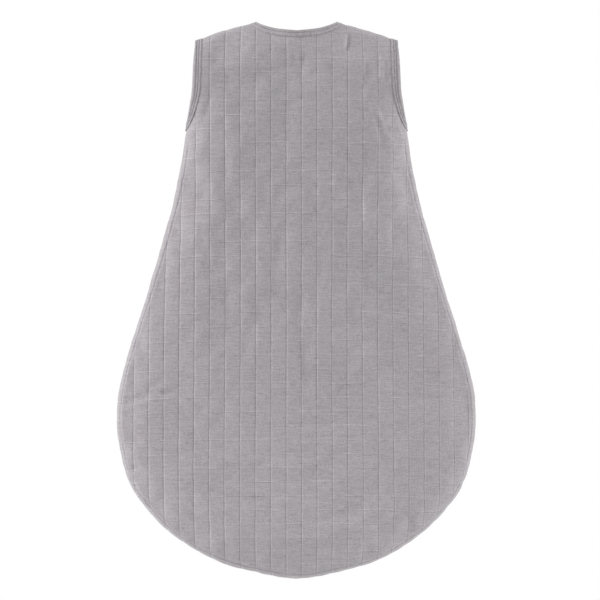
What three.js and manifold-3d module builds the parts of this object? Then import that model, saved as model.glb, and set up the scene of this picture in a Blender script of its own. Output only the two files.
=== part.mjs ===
// A sleeveless muslin sleeping bag for a baby: a pear-shaped bag with bound neck and armholes and a centre
// front zip. It hangs upright, as on a hanger. Millimetres, +Z up, +X to the wearer's right, the front is +Y,
// and the origin is midway between the two ends of the shoulder lines at the neck.
import * as THREE from "three";
import { mergeVertices } from "three/addons/utils/BufferGeometryUtils.js";
import Module from "manifold-3d";

// ---- the bag's flat shape, right half, seen square on: x and z of the points its curves pass through ----
const NECK_POINT = [50, 0];
const SHOULDER_TIP = [127.7, -24];
const SHOULDER_BULGE = [98, -13]; // pull of the slightly rounded shoulder line
const UNDERARM = [138, -128];
const SIDE_AND_HEM = [
  UNDERARM, [143, -167], [155, -227], [172, -288], [191, -352], [211, -415], [223.5, -468],
  [224.5, -519], [212, -575], [186, -615], [150, -649], [100, -678], [50, -692.5], [0, -700],
];
const HEM_CORNER = 9; // index above where the side seam ends and the hem begins
const BACK_ARMHOLE = [SHOULDER_TIP, [128.8, -48], [130.2, -86], [133.5, -104], UNDERARM];
const FRONT_ARMHOLE = [SHOULDER_TIP, [130.5, -48], [132.4, -84], [135.2, -104], UNDERARM];
const BINDING_TOP = [118.7, -21.4]; // where the armhole binding's inner edge crosses the shoulder
const BINDING_FOOT = [139.3, -137.5]; // and where it crosses the side
const BACK_ARMHOLE_INNER = [BINDING_TOP, [119.6, -48], [121, -86], [125.5, -107], [132, -125], BINDING_FOOT];
const FRONT_ARMHOLE_INNER = [BINDING_TOP, [121.3, -48], [123.2, -84], [127, -107], [133, -125], BINDING_FOOT];
const NECK_INNER = [59, -2.8]; // where the neck binding's inner edge crosses the shoulder
const BACK_NECK = [[0, -11.3], [25, -8.6], [42, -3.8], NECK_POINT];
const BACK_NECK_INNER = [[0, -20.6], [28, -17.8], [48, -11], NECK_INNER];
const FRONT_NECK = [[6, -48], [24, -44.5], [41, -29], [48.5, -12], NECK_POINT];
const FRONT_NECK_INNER = [[6, -57.4], [28, -53.5], [49, -36], [57.5, -15], NECK_INNER];
// The closed seams run on past the openings, outwards, so that the cloth stands open there.
const PAST_NECK = [[44, 3], [40, 10], [38, 20], [37, 34]];
const PAST_TIP = [[150, -31], [176, -39]];
const PAST_UNDERARM = [[163, -92], [150, -100], [142, -110], [138.5, -120]];

// ---- depth ----
const HALF_DEPTH = 24; // from the middle plane to the cloth's face where the bag is flat
const EDGE_ROLL = 60; // how far in from a closed seam the cloth still curves
const SEAM_GAP = 0.2; // from the middle plane to the cloth's edge at a closed seam
const MIDDLE_Z = -350;

// ---- layers, as depths below the cloth's outer face ----
const OUTER_CLOTH = [0, 1.2];
const LINING = [2.2, 3.0];
const BINDING = [-1.0, 3.8];
const EDGE_PLAY = 0.8; // between a binding's edge and the cloth that ends at it

// ---- sewn allowances inside the seams ----
const ALLOWANCE_FROM = 4.9;
const ALLOWANCE_TO = 12;
const ALLOWANCE_HALF = 1.2;

// ---- zip, down the centre front ----
const ZIP_OPEN_HALF = 6; // half the slot between the folded front edges
const ZIP_TOP = -58.2;
const ZIP_FOOT = -616; // foot of the tapes
const TEETH_TOP = -62.9;
const TEETH_FOOT = -600;
const CHAIN_HALF_GAP = 0.8; // half the channel that the slider's post runs in
const TEETH_HALF = 3.1;
const TAPE_HALF = 16.4;
const LINING_SLOT_HALF = TAPE_HALF + 0.6;
const OUTER_SLOT_FOOT = -606; // height where the outer fronts close below the zip
const LINING_SLOT_FOOT = -618;
const TAPE_Y = [21.9, 22.6];
const TEETH_Y = [23.2, 25.0];
const SLIDER_Z = -69.8; // middle of the slider when the bag is closed

const rising = (a, b) => a - b;

// ---- curves ----
const vec = ([x, z]) => new THREE.Vector2(x, z);
const mirror = (points) => points.map(([x, z]) => [-x, z]);

function spline(points, steps) {
  return new THREE.SplineCurve(points.map(vec)).getSpacedPoints(steps).map((p) => [p.x, p.y]);
}

function shoulderLine(steps) {
  const curve = new THREE.QuadraticBezierCurve(vec(NECK_POINT), vec(SHOULDER_BULGE), vec(SHOULDER_TIP));
  return curve.getSpacedPoints(steps).map((p) => [p.x, p.y]);
}

const SIDE_STEPS = 60;
const halfEdge = spline([...SIDE_AND_HEM, [-50, -692.5]], SIDE_STEPS).filter(([x]) => x > 2);
halfEdge.push([0, -700]);
const closedEdge = [...PAST_UNDERARM, ...halfEdge];
const closedShoulder = [...[...PAST_NECK].reverse(), ...shoulderLine(8), ...PAST_TIP];
const SEAMS = [
  [...closedEdge, ...mirror(closedEdge).reverse().slice(1)],
  closedShoulder,
  mirror(closedShoulder),
];

// The distance from a point to a seam, and the direction straight away from the seam into the cloth.
// A point on the seam, or just outside it, counts as on it.
function fromSeam(seam, x, z) {
  const JUST_OUTSIDE = 3;
  let best = { distance: Infinity, away: [0, 0] };
  for (let i = 1; i < seam.length; i++) {
    const [ax, az] = seam[i - 1];
    const ux = seam[i][0] - ax;
    const uz = seam[i][1] - az;
    const share = ((x - ax) * ux + (z - az) * uz) / (ux * ux + uz * uz);
    const t = Math.min(1, Math.max(0, share));
    const dx = x - ax - t * ux;
    const dz = z - az - t * uz;
    const distance = Math.hypot(dx, dz);
    if (distance >= best.distance) continue;
    const turn = uz * ax + ux * (MIDDLE_Z - az) > 0 ? 1 : -1;
    const inward = [-uz, ux].map((u) => (turn * u) / Math.hypot(ux, uz));
    const isOn = inward[0] * dx + inward[1] * dz < 0.01 && distance < JUST_OUTSIDE;
    best = { distance, away: isOn ? inward : [dx / distance, dz / distance], isOn };
  }
  return best.isOn ? { ...best, distance: 0 } : best;
}

// A point of the cloth. It lies at x, z seen square on; side is 1 on the front and -1 on the back; depth
// is measured inwards from the outer face; gap keeps front and back apart at a closed seam.
function clothPoint(x, z, side, depth, gap = SEAM_GAP) {
  const near = SEAMS.map((seam) => fromSeam(seam, x, z)).map(({ distance, away }) => {
    const cosine = 1 - Math.min(1, distance / EDGE_ROLL);
    return { cosine, sine: Math.sqrt(1 - cosine * cosine), away };
  });
  const least = Math.min(...near.map((s) => s.sine));
  let nx = 0;
  let nz = 0;
  near.forEach((s, i) => {
    let slope = (HALF_DEPTH * s.cosine) / EDGE_ROLL;
    near.forEach((other, j) => {
      if (j !== i) slope *= other.sine;
    });
    slope *= s.sine > 1e-9 ? least / s.sine : 1;
    nx -= slope * s.away[0];
    nz -= slope * s.away[1];
  });
  const length = Math.hypot(nx, nz, least);
  const height = gap + HALF_DEPTH * near.reduce((product, s) => product * s.sine, 1);
  return [x - (depth * nx) / length, side * (height - (depth * least) / length), z - (depth * nz) / length];
}

// ---- closed solids ----
function solid(points, faces) {
  const geometry = new THREE.BufferGeometry();
  geometry.setAttribute("position", new THREE.Float32BufferAttribute(points.flat(), 3));
  let volume = 0;
  const [a, b, c] = [new THREE.Vector3(), new THREE.Vector3(), new THREE.Vector3()];
  for (const [i, j, k] of faces) {
    a.fromArray(points[i]);
    b.fromArray(points[j]);
    c.fromArray(points[k]);
    volume += a.dot(b.cross(c));
  }
  const outward = volume > 0 ? faces : faces.map(([i, j, k]) => [i, k, j]);
  geometry.setIndex(outward.flat());
  return geometry;
}

// Rings of the same number of points, joined one to the next. The ends are closed unless it is a loop.
function loft(rings, isLoop = false) {
  const count = rings[0].length;
  const faces = [];
  const last = isLoop ? rings.length : rings.length - 1;
  for (let r = 0; r < last; r++) {
    const here = r * count;
    const next = ((r + 1) % rings.length) * count;
    for (let k = 0; k < count; k++) {
      const m = (k + 1) % count;
      faces.push([here + k, next + k, next + m], [here + k, next + m, here + m]);
    }
  }
  if (!isLoop) {
    const end = (rings.length - 1) * count;
    for (let k = 1; k < count - 1; k++) {
      faces.push([0, k, k + 1], [end, end + k + 1, end + k]);
    }
  }
  return solid(rings.flat(), faces);
}

// A sheet with thickness: a grid of face points and the same grid of back points, closed round the rim.
function sheet(face, back) {
  const rows = face.length;
  const columns = face[0].length;
  const offset = rows * columns;
  const at = (r, c) => r * columns + c;
  const faces = [];
  for (let r = 0; r < rows - 1; r++) {
    for (let c = 0; c < columns - 1; c++) {
      const quad = [at(r, c), at(r, c + 1), at(r + 1, c + 1), at(r + 1, c)];
      faces.push([quad[0], quad[1], quad[2]], [quad[0], quad[2], quad[3]]);
      const under = quad.map((i) => i + offset);
      faces.push([under[0], under[2], under[1]], [under[0], under[3], under[2]]);
    }
  }
  const rim = [];
  for (let c = 0; c < columns - 1; c++) rim.push(at(0, c));
  for (let r = 0; r < rows - 1; r++) rim.push(at(r, columns - 1));
  for (let c = columns - 1; c > 0; c--) rim.push(at(rows - 1, c));
  for (let r = rows - 1; r > 0; r--) rim.push(at(r, 0));
  rim.forEach((i, n) => {
    const j = rim[(n + 1) % rim.length];
    faces.push([i, i + offset, j + offset], [i, j + offset, j]);
  });
  return solid([...face.flat(), ...back.flat()], faces);
}

function box([x0, x1], [y0, y1], [z0, z1]) {
  const geometry = new THREE.BoxGeometry(x1 - x0, y1 - y0, z1 - z0);
  return geometry.translate((x0 + x1) / 2, (y0 + y1) / 2, (z0 + z1) / 2);
}

// An outline in x and z, given its thickness between two values of y.
function plate(shape, [y0, y1], curveSegments = 6) {
  const geometry = new THREE.ExtrudeGeometry(shape, { depth: y1 - y0, bevelEnabled: false, curveSegments });
  return geometry.rotateX(Math.PI / 2).translate(0, y1, 0);
}

// ---- the panels ----
// Each half of a panel is a grid blended between four border curves: the neck and shoulder above, the
// armhole binding and side at the edge, the hem below and the centre line.
const NECK_COLUMNS = 5;
const SHOULDER_COLUMNS = 6;
const COLUMNS = NECK_COLUMNS + SHOULDER_COLUMNS;
const ROWS = 23;
const ARMHOLE_ROWS = 8;
const CROWDING = 1.7; // how strongly the columns crowd towards the side
const ROW_CROWDING = 0.72; // and the rows towards the shoulder and the hem

const rowShare = (k) => k / ROWS - (ROW_CROWDING * Math.sin((2 * Math.PI * k) / ROWS)) / (2 * Math.PI);
const columnShare = (j) => 1 - (1 - j / COLUMNS) ** CROWDING;

// The point at a share of a polyline's length.
function along(line, share) {
  const lengths = [0];
  for (let i = 1; i < line.length; i++) {
    lengths.push(lengths[i - 1] + Math.hypot(line[i][0] - line[i - 1][0], line[i][1] - line[i - 1][1]));
  }
  const wanted = share * lengths.at(-1);
  let i = 1;
  while (i < line.length - 1 && lengths[i] < wanted) i++;
  const t = (wanted - lengths[i - 1]) / (lengths[i] - lengths[i - 1]);
  return [0, 1].map((k) => line[i - 1][k] + t * (line[i][k] - line[i - 1][k]));
}

const shift = (points, dx, dz) => points.map(([x, z]) => [x + dx, z + dz]);
const sideLine = () => halfEdge.filter(([, z]) => z < BINDING_FOOT[1] - EDGE_PLAY);
const sideCount = halfEdge.findIndex(([, z]) => z < SIDE_AND_HEM[HEM_CORNER][1]);

// The centre line's point on each row. On a front with a slot for the zip, one row ends at the slot's foot.
function centreLine(centre, shares) {
  if (centre.length === 2) return shares.map((v) => along(centre, v));
  const [top, slotFoot, joined, foot] = centre;
  const slotShare = (slotFoot[1] - top[1]) / (foot[1] - top[1]);
  const last = shares.filter((v) => v < slotShare).length - 1;
  return shares.map((v, k) => {
    if (k <= last) return along([top, slotFoot], v / shares[last]);
    return along([joined, foot], (v - shares[last + 1]) / (1 - shares[last + 1]));
  });
}

function halfGrid({ neckInner, armholeInner, centre }) {
  const neck = spline(shift(neckInner, EDGE_PLAY, -EDGE_PLAY), 24).filter(([x]) => x > centre[0][0] + 1);
  const neckLine = [centre[0], ...neck];
  const onShoulder = shoulderLine(40).filter(([x]) => x > NECK_INNER[0] + EDGE_PLAY + 0.5);
  const shoulder = onShoulder.filter(([x]) => x < BINDING_TOP[0] - EDGE_PLAY);
  neckLine[neckLine.length - 1] = shoulder[0];
  const armhole = spline(shift(armholeInner, -EDGE_PLAY, -EDGE_PLAY), 24);
  armhole[0] = shoulder.at(-1);
  const side = [...sideLine().filter(([, z]) => z > SIDE_AND_HEM[HEM_CORNER][1]), SIDE_AND_HEM[HEM_CORNER]];
  armhole[armhole.length - 1] = side[0];
  const hem = [SIDE_AND_HEM[HEM_CORNER], ...halfEdge.slice(sideCount).filter(([x]) => x > centre.at(-1)[0])];
  hem[hem.length - 1] = centre.at(-1);
  hem.reverse();

  const top = [];
  for (let j = 0; j <= COLUMNS; j++) {
    const onNeck = j <= NECK_COLUMNS;
    const share = onNeck ? j / NECK_COLUMNS : (j - NECK_COLUMNS) / SHOULDER_COLUMNS;
    top.push(along(onNeck ? neckLine : shoulder, onNeck ? share : 1 - (1 - share) ** 1.25));
  }
  const shares = [...Array(ROWS + 1).keys()].map(rowShare);
  const split = shares[ARMHOLE_ROWS];
  const edge = shares.map((v, k) => {
    if (k <= ARMHOLE_ROWS) return along(armhole, k / ARMHOLE_ROWS);
    return along(side, (v - split) / (1 - split));
  });
  const centreRows = centreLine(centre, shares);
  const grid = shares.map((v, k) => {
    const left = centreRows[k];
    return top.map((above, j) => {
      const u = columnShare(j);
      const below = along(hem, u);
      return [0, 1].map((i) => {
        const across = (1 - u) * left[i] + u * edge[k][i];
        const down = (1 - v) * above[i] + v * below[i];
        const corners = (1 - v) * ((1 - u) * top[0][i] + u * top.at(-1)[i])
          + v * ((1 - u) * hem[0][i] + u * hem.at(-1)[i]);
        return across + down - corners;
      });
    });
  });
  return grid;
}

const lift = (grid, side, depth) => grid.map((row) => row.map(([x, z]) => clothPoint(x, z, side, depth)));

function backCloth([outer, inner]) {
  const centre = [[0, BACK_NECK_INNER[0][1] - EDGE_PLAY], [0, -700]];
  const half = halfGrid({ neckInner: BACK_NECK_INNER, armholeInner: BACK_ARMHOLE_INNER, centre });
  const grid = half.map((row) => [...mirror(row).reverse().slice(0, -1), ...row]);
  return sheet(lift(grid, -1, outer), lift(grid, -1, inner));
}

// centreX: half the slot for the zip; slotFoot: the height where the slot closes.
function frontCloth([outer, inner], wearerSide, centreX, slotFoot) {
  const SLOT_TAPER = 12;
  const centre = [
    [centreX, FRONT_NECK_INNER[0][1] - EDGE_PLAY],
    [centreX, slotFoot], [SEAM_GAP, slotFoot - SLOT_TAPER], [SEAM_GAP, -700],
  ];
  const half = halfGrid({ neckInner: FRONT_NECK_INNER, armholeInner: FRONT_ARMHOLE_INNER, centre });
  const grid = wearerSide > 0 ? half : half.map(mirror);
  return sheet(lift(grid, 1, outer), lift(grid, 1, inner));
}

// ---- bindings: a band between an outer and an inner border, over the cloth's edge ----
function bandRing([ox, oz], [ix, iz], side) {
  const [face, back] = BINDING;
  return [
    clothPoint(ox, oz, side, face, 0), clothPoint(ix, iz, side, face, 0),
    clothPoint(ix, iz, side, back, 0), clothPoint(ox, oz, side, back, 0),
  ];
}

function band(outer, inner, side, steps) {
  const rings = [];
  for (let k = 0; k <= steps; k++) rings.push(bandRing(along(outer, k / steps), along(inner, k / steps), side));
  return rings;
}

function armholeBinding(wearerSide) {
  const STEPS = 2 * ARMHOLE_ROWS;
  const back = band(spline(BACK_ARMHOLE, 30), spline(BACK_ARMHOLE_INNER, 30), -1, STEPS);
  const front = band(spline(FRONT_ARMHOLE, 30), spline(FRONT_ARMHOLE_INNER, 30), 1, STEPS);
  const rings = [...back, ...front.reverse().slice(1, -1)];
  const placed = rings.map((ring) => ring.map(([x, y, z]) => [wearerSide * x, y, z]));
  return loft(placed, true);
}

function neckBinding() {
  const STEPS = 12;
  const front = band(spline(FRONT_NECK, 30), spline(FRONT_NECK_INNER, 30), 1, STEPS);
  const back = band(spline(BACK_NECK, 30), spline(BACK_NECK_INNER, 30), -1, STEPS).reverse();
  const right = [...front, ...back.slice(1)];
  const left = right.map((ring) => ring.map(([x, y, z]) => [-x, y, z])).reverse();
  return loft([...right, ...left.slice(1)]);
}

// ---- sewn allowances: a strip that stands in from a seam, in the middle plane ----
function allowance(line) {
  const rings = line.map(([x, z]) => {
    const { away } = fromSeam(SEAMS.find((seam) => fromSeam(seam, x, z).distance < 0.5), x, z);
    const from = [x + away[0] * ALLOWANCE_FROM, z + away[1] * ALLOWANCE_FROM];
    const to = [x + away[0] * ALLOWANCE_TO, z + away[1] * ALLOWANCE_TO];
    return [
      [from[0], -ALLOWANCE_HALF, from[1]], [to[0], -ALLOWANCE_HALF, to[1]],
      [to[0], ALLOWANCE_HALF, to[1]], [from[0], ALLOWANCE_HALF, from[1]],
    ];
  });
  return loft(rings);
}

function sideAllowance(wearerSide) {
  const top = BINDING_FOOT[1] - 6;
  const foot = SIDE_AND_HEM[HEM_CORNER][1] + 2;
  const line = halfEdge.filter(([, z]) => z < top && z > foot);
  return allowance(line.map(([x, z]) => [wearerSide * x, z]));
}

function hemAllowance() {
  const half = halfEdge.filter(([, z]) => z < SIDE_AND_HEM[HEM_CORNER][1] - 4);
  return allowance([...half, ...mirror(half).reverse().slice(1)]);
}

function shoulderAllowance(wearerSide) {
  const line = shoulderLine(20).filter(([x]) => x > NECK_INNER[0] + 3 && x < BINDING_TOP[0] - 3);
  return allowance(line.map(([x, z]) => [wearerSide * x, z]));
}

// ---- zip ----
const across = (wearerSide, a, b) => [wearerSide * a, wearerSide * b].sort(rising);

function zipTape(wearerSide) {
  return box(across(wearerSide, CHAIN_HALF_GAP, TAPE_HALF), TAPE_Y, [ZIP_FOOT, ZIP_TOP]);
}

// One coil: a strip with a rounded outer face.
function zipTeeth(wearerSide) {
  const shape = new THREE.Shape();
  const round = 0.6;
  shape.moveTo(CHAIN_HALF_GAP, TEETH_Y[0]);
  shape.lineTo(TEETH_HALF, TEETH_Y[0]);
  shape.lineTo(TEETH_HALF, TEETH_Y[1] - round);
  shape.quadraticCurveTo(TEETH_HALF, TEETH_Y[1], TEETH_HALF - round, TEETH_Y[1]);
  shape.lineTo(CHAIN_HALF_GAP + round, TEETH_Y[1]);
  shape.quadraticCurveTo(CHAIN_HALF_GAP, TEETH_Y[1], CHAIN_HALF_GAP, TEETH_Y[1] - round);
  shape.closePath();
  const ring = shape.getPoints(3).slice(0, -1);
  const at = (z) => ring.map((p) => [wearerSide * p.x, p.y, z]);
  return loft([at(TEETH_FOOT), at(TEETH_TOP)]);
}

const STOP_LENGTH = 2.6;
const STOP_Y = [23.2, 25.2];

function topStop(wearerSide) {
  const z = [TEETH_TOP + 0.3, TEETH_TOP + 0.3 + STOP_LENGTH];
  return box(across(wearerSide, CHAIN_HALF_GAP, TEETH_HALF + 0.5), STOP_Y, z);
}

function bottomStop() {
  const half = TEETH_HALF + 0.5;
  return box([-half, half], STOP_Y, [TEETH_FOOT - 0.3 - STOP_LENGTH, TEETH_FOOT - 0.3]);
}

// The strip behind the zip, sewn to the left front's lining along its turned-up edge.
function zipGuard() {
  const section = [
    [20, 17.2], [20, 18.4], [-22.8, 18.4], [-25, 20.8], [-32, 20.8], [-32, 19.6], [-25.6, 19.6], [-23.4, 17.2],
  ];
  const shape = new THREE.Shape(section.map(vec));
  const geometry = new THREE.ExtrudeGeometry(shape, { depth: ZIP_TOP - ZIP_FOOT, bevelEnabled: false });
  return geometry.translate(0, 0, ZIP_FOOT);
}

// A tab of cloth folded over the neck binding at the top of the zip.
function zipGarage() {
  const HALF_WIDTH = 10;
  const inner = { front: 25.6, back: 20.0, top: -46.5 };
  const thick = 1.0;
  const section = [
    [inner.front, -61.5], [inner.front + thick, -61.5], [inner.front + thick, inner.top + thick * 0.4],
    [inner.front, inner.top + thick], [inner.back, inner.top + thick], [inner.back - thick, inner.top],
    [inner.back - thick, -70], [inner.back, -70], [inner.back, inner.top], [inner.front, inner.top],
  ];
  const shape = new THREE.Shape(section.map(vec));
  const geometry = new THREE.ExtrudeGeometry(shape, { depth: 2 * HALF_WIDTH, bevelEnabled: false });
  const turn = new THREE.Matrix4().set(0, 0, 1, -HALF_WIDTH, 1, 0, 0, 0, 0, 1, 0, 0, 0, 0, 0, 1);
  return geometry.applyMatrix4(turn);
}

// ---- slider ----
const wasm = await Module();
wasm.setup();

function toManifold(geometry) {
  const bare = geometry.clone();
  bare.deleteAttribute("normal");
  bare.deleteAttribute("uv");
  const merged = mergeVertices(bare, 1e-4);
  const vertProperties = new Float32Array(merged.attributes.position.array);
  const triVerts = new Uint32Array(merged.index.array);
  return new wasm.Manifold(new wasm.Mesh({ numProp: 3, vertProperties, triVerts }));
}

function joined(geometries) {
  const whole = geometries.map(toManifold).reduce((a, b) => a.add(b));
  const mesh = whole.getMesh();
  const geometry = new THREE.BufferGeometry();
  geometry.setAttribute("position", new THREE.BufferAttribute(new Float32Array(mesh.vertProperties), 3));
  geometry.setIndex([...mesh.triVerts]);
  return geometry;
}

const SLIDER_HALF_LENGTH = 6.5;
const SLIDER_TOP_HALF = 5.2; // half width at the end where the halves of the zip part
const SLIDER_FOOT_HALF = 4.2;
const UPPER_WING = [25.3, 26.7];
const LOWER_WING = [20.2, 21.5];
const PIVOT_Y = 28.0; // axis of the pull tab's eye, under the bridge
const EYE_RADIUS = 0.7;

function sliderOutline(spare) {
  const top = SLIDER_Z + SLIDER_HALF_LENGTH - spare;
  const foot = SLIDER_Z - SLIDER_HALF_LENGTH + spare;
  const shape = new THREE.Shape();
  shape.moveTo(-(SLIDER_FOOT_HALF - 1.6), foot);
  shape.lineTo(SLIDER_FOOT_HALF - 1.6, foot);
  shape.quadraticCurveTo(SLIDER_FOOT_HALF, foot, SLIDER_FOOT_HALF, foot + 1.8);
  shape.lineTo(SLIDER_TOP_HALF, top - 3);
  shape.quadraticCurveTo(SLIDER_TOP_HALF, top, SLIDER_TOP_HALF - 2.6, top);
  shape.lineTo(-(SLIDER_TOP_HALF - 2.6), top);
  shape.quadraticCurveTo(-SLIDER_TOP_HALF, top, -SLIDER_TOP_HALF, top - 3);
  shape.lineTo(-SLIDER_FOOT_HALF, foot + 1.8);
  shape.quadraticCurveTo(-SLIDER_FOOT_HALF, foot, -(SLIDER_FOOT_HALF - 1.6), foot);
  return shape;
}

function sliderBody() {
  const post = box([-0.5, 0.5], [LOWER_WING[1] - 0.2, UPPER_WING[0] + 0.2], [SLIDER_Z, SLIDER_Z + 5]);
  const flange = (wearerSide) => {
    const z = [SLIDER_Z - SLIDER_HALF_LENGTH + 2, SLIDER_Z + SLIDER_HALF_LENGTH - 3.4];
    return box(across(wearerSide, TEETH_HALF + 0.3, TEETH_HALF + 1.05), [23.3, UPPER_WING[0] + 0.2], z);
  };
  const wings = [plate(sliderOutline(0), UPPER_WING), plate(sliderOutline(0.4), LOWER_WING)];
  return joined([...wings, post, flange(1), flange(-1)]);
}

// The bridge over the upper wing, which carries the tab's eye.
function sliderCrown() {
  const HALF_WIDTH = 1.4;
  const foot = UPPER_WING[1] + 0.3;
  const [legOut, legIn] = [4.7, 3.6];
  const [under, over] = [29.1, 30.1];
  const shape = new THREE.Shape();
  shape.moveTo(-legOut, foot);
  shape.lineTo(-legIn, foot);
  shape.lineTo(-legIn, under - 0.6);
  shape.quadraticCurveTo(-legIn, under, -legIn + 0.6, under);
  shape.lineTo(legIn - 0.6, under);
  shape.quadraticCurveTo(legIn, under, legIn, under - 0.6);
  shape.lineTo(legIn, foot);
  shape.lineTo(legOut, foot);
  shape.lineTo(legOut, over - 1.2);
  shape.quadraticCurveTo(legOut, over, legOut - 1.4, over);
  shape.lineTo(-legOut + 1.4, over);
  shape.quadraticCurveTo(-legOut, over, -legOut, over - 1.2);
  shape.closePath();
  const options = { depth: 2 * HALF_WIDTH, bevelEnabled: false, curveSegments: 4 };
  const geometry = new THREE.ExtrudeGeometry(shape, options);
  return geometry.rotateY(Math.PI / 2).translate(-HALF_WIDTH, 0, SLIDER_Z);
}

// The tab hangs from its eye, a window whose upper bar lies under the bridge.
function pullTab() {
  const LENGTH = 34;
  const HALF_WIDTH = 4;
  const WINDOW_HALF = 2.1;
  const WINDOW_LENGTH = 6.6;
  const top = SLIDER_Z + EYE_RADIUS;
  const foot = SLIDER_Z - LENGTH;
  const shape = new THREE.Shape();
  shape.moveTo(-HALF_WIDTH + 1, top);
  shape.lineTo(HALF_WIDTH - 1, top);
  shape.quadraticCurveTo(HALF_WIDTH, top, HALF_WIDTH, top - 1.2);
  shape.lineTo(HALF_WIDTH - 0.6, top - 12);
  shape.lineTo(HALF_WIDTH, foot + 4);
  shape.absarc(0, foot + HALF_WIDTH, HALF_WIDTH, 0, -Math.PI, true);
  shape.lineTo(-HALF_WIDTH + 0.6, top - 12);
  shape.lineTo(-HALF_WIDTH, top - 1.2);
  shape.quadraticCurveTo(-HALF_WIDTH, top, -HALF_WIDTH + 1, top);
  const opening = new THREE.Path();
  const windowTop = SLIDER_Z - EYE_RADIUS;
  opening.moveTo(-WINDOW_HALF, windowTop);
  opening.lineTo(-WINDOW_HALF, windowTop - WINDOW_LENGTH);
  opening.lineTo(WINDOW_HALF, windowTop - WINDOW_LENGTH);
  opening.lineTo(WINDOW_HALF, windowTop);
  opening.closePath();
  const hole = new THREE.Path().absarc(0, foot + HALF_WIDTH, 1.5, 0, 2 * Math.PI, false);
  shape.holes.push(opening, hole);
  return plate(shape, [PIVOT_Y - EYE_RADIUS, PIVOT_Y + EYE_RADIUS], 8);
}

// ---- labels ----
function neckLabel() {
  const LAYER = [3.6, 4.6];
  const columns = [-13, 0, 13];
  const rows = [-22, -32, -42];
  const grid = rows.map((z) => columns.map((x) => [x, z]));
  return sheet(lift(grid, -1, LAYER[0]), lift(grid, -1, LAYER[1]));
}

function careLabel() {
  const SPAN = 42;
  const [top, foot] = [-385, -413];
  const edge = halfEdge.find(([, z]) => z < top)[0];
  const from = edge - ALLOWANCE_TO - 6;
  return box([-from, -(from - SPAN)], [-0.5, 0.5], [foot, top]);
}

// ---- materials ----
const finish = (color, roughness, metalness = 0) => ({ color, roughness, metalness });
const MUSLIN = finish(0xa39da1, 0.95);
const LINING_CLOTH = finish(0xb3afb1, 0.95);
const STRIP = finish(0x9d979b, 0.9);
const TAPE = finish(0x8f8a8e, 0.85);
const COIL = finish(0x8a868a, 0.5);
const METAL = finish(0x9a9a9c, 0.35, 0.9);
const LABEL = finish(0xe8e6e2, 0.8);

const group = new THREE.Group();
function add(name, geometry, look) {
  const mesh = new THREE.Mesh(geometry, new THREE.MeshStandardMaterial(look));
  mesh.name = name;
  group.add(mesh);
}

add("back_panel", backCloth(OUTER_CLOTH), MUSLIN);
add("back_lining", backCloth(LINING), LINING_CLOTH);
add("neck_binding", neckBinding(), STRIP);
add("hem_seam", hemAllowance(), STRIP);
for (const [name, wearerSide] of [["left", -1], ["right", 1]]) {
  add(`front_panel_${name}`, frontCloth(OUTER_CLOTH, wearerSide, ZIP_OPEN_HALF, OUTER_SLOT_FOOT), MUSLIN);
  add(`front_lining_${name}`, frontCloth(LINING, wearerSide, LINING_SLOT_HALF, LINING_SLOT_FOOT), LINING_CLOTH);
  add(`armhole_binding_${name}`, armholeBinding(wearerSide), STRIP);
  add(`shoulder_seam_${name}`, shoulderAllowance(wearerSide), STRIP);
  add(`side_seam_${name}`, sideAllowance(wearerSide), STRIP);
  add(`zip_tape_${name}`, zipTape(wearerSide), TAPE);
  add(`zip_teeth_${name}`, zipTeeth(wearerSide), COIL);
  add(`zip_top_stop_${name}`, topStop(wearerSide), METAL);
}
add("zip_bottom_stop", bottomStop(), METAL);
add("zip_guard", zipGuard(), MUSLIN);
add("zip_garage", zipGarage(), MUSLIN);
add("slider_body", sliderBody(), METAL);
add("slider_crown", sliderCrown(), METAL);
add("pull_tab", pullTab(), METAL);
add("neck_label", neckLabel(), LABEL);
add("care_label", careLabel(), LABEL);

export default group;
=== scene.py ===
"""A sleeveless muslin sleeping bag for a baby, hung upright, built as cloth, binding, thread and zip.

The file is laid out as an add-on: the sizes and colours are properties, each group of pieces has its own
operator, and a panel in the 3D view's sidebar lists them. The scene is in metres; the shapes are worked out
in millimetres and turned into metres by MM. The front is +Y, the wearer's right is +X, and the origin is
midway between the neck ends of the shoulder lines.
"""

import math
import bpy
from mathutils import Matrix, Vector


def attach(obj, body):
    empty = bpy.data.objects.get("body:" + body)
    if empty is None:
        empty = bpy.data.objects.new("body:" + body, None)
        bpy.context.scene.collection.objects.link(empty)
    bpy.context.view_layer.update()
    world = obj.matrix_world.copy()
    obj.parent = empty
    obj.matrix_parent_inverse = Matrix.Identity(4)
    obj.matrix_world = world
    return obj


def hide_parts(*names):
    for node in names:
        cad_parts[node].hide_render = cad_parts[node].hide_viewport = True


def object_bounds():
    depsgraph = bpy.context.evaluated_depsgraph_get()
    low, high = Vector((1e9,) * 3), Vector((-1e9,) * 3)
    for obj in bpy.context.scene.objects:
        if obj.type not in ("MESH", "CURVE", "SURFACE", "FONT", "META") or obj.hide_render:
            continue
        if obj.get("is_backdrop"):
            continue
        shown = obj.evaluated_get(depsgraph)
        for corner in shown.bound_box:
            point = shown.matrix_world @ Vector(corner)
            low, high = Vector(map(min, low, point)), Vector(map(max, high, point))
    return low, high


bl_info = {
    "name": "Muslin Baby Sleeping Bag",
    "version": (1, 0, 0),
    "blender": (4, 5, 0),
    "location": "3D View > Sidebar > Sleeping Bag",
    "description": "Builds a muslin baby sleeping bag around its packed frame",
    "category": "Add Mesh",
}

import bmesh
import bpy
import numpy as np
from mathutils import Vector, geometry

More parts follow.
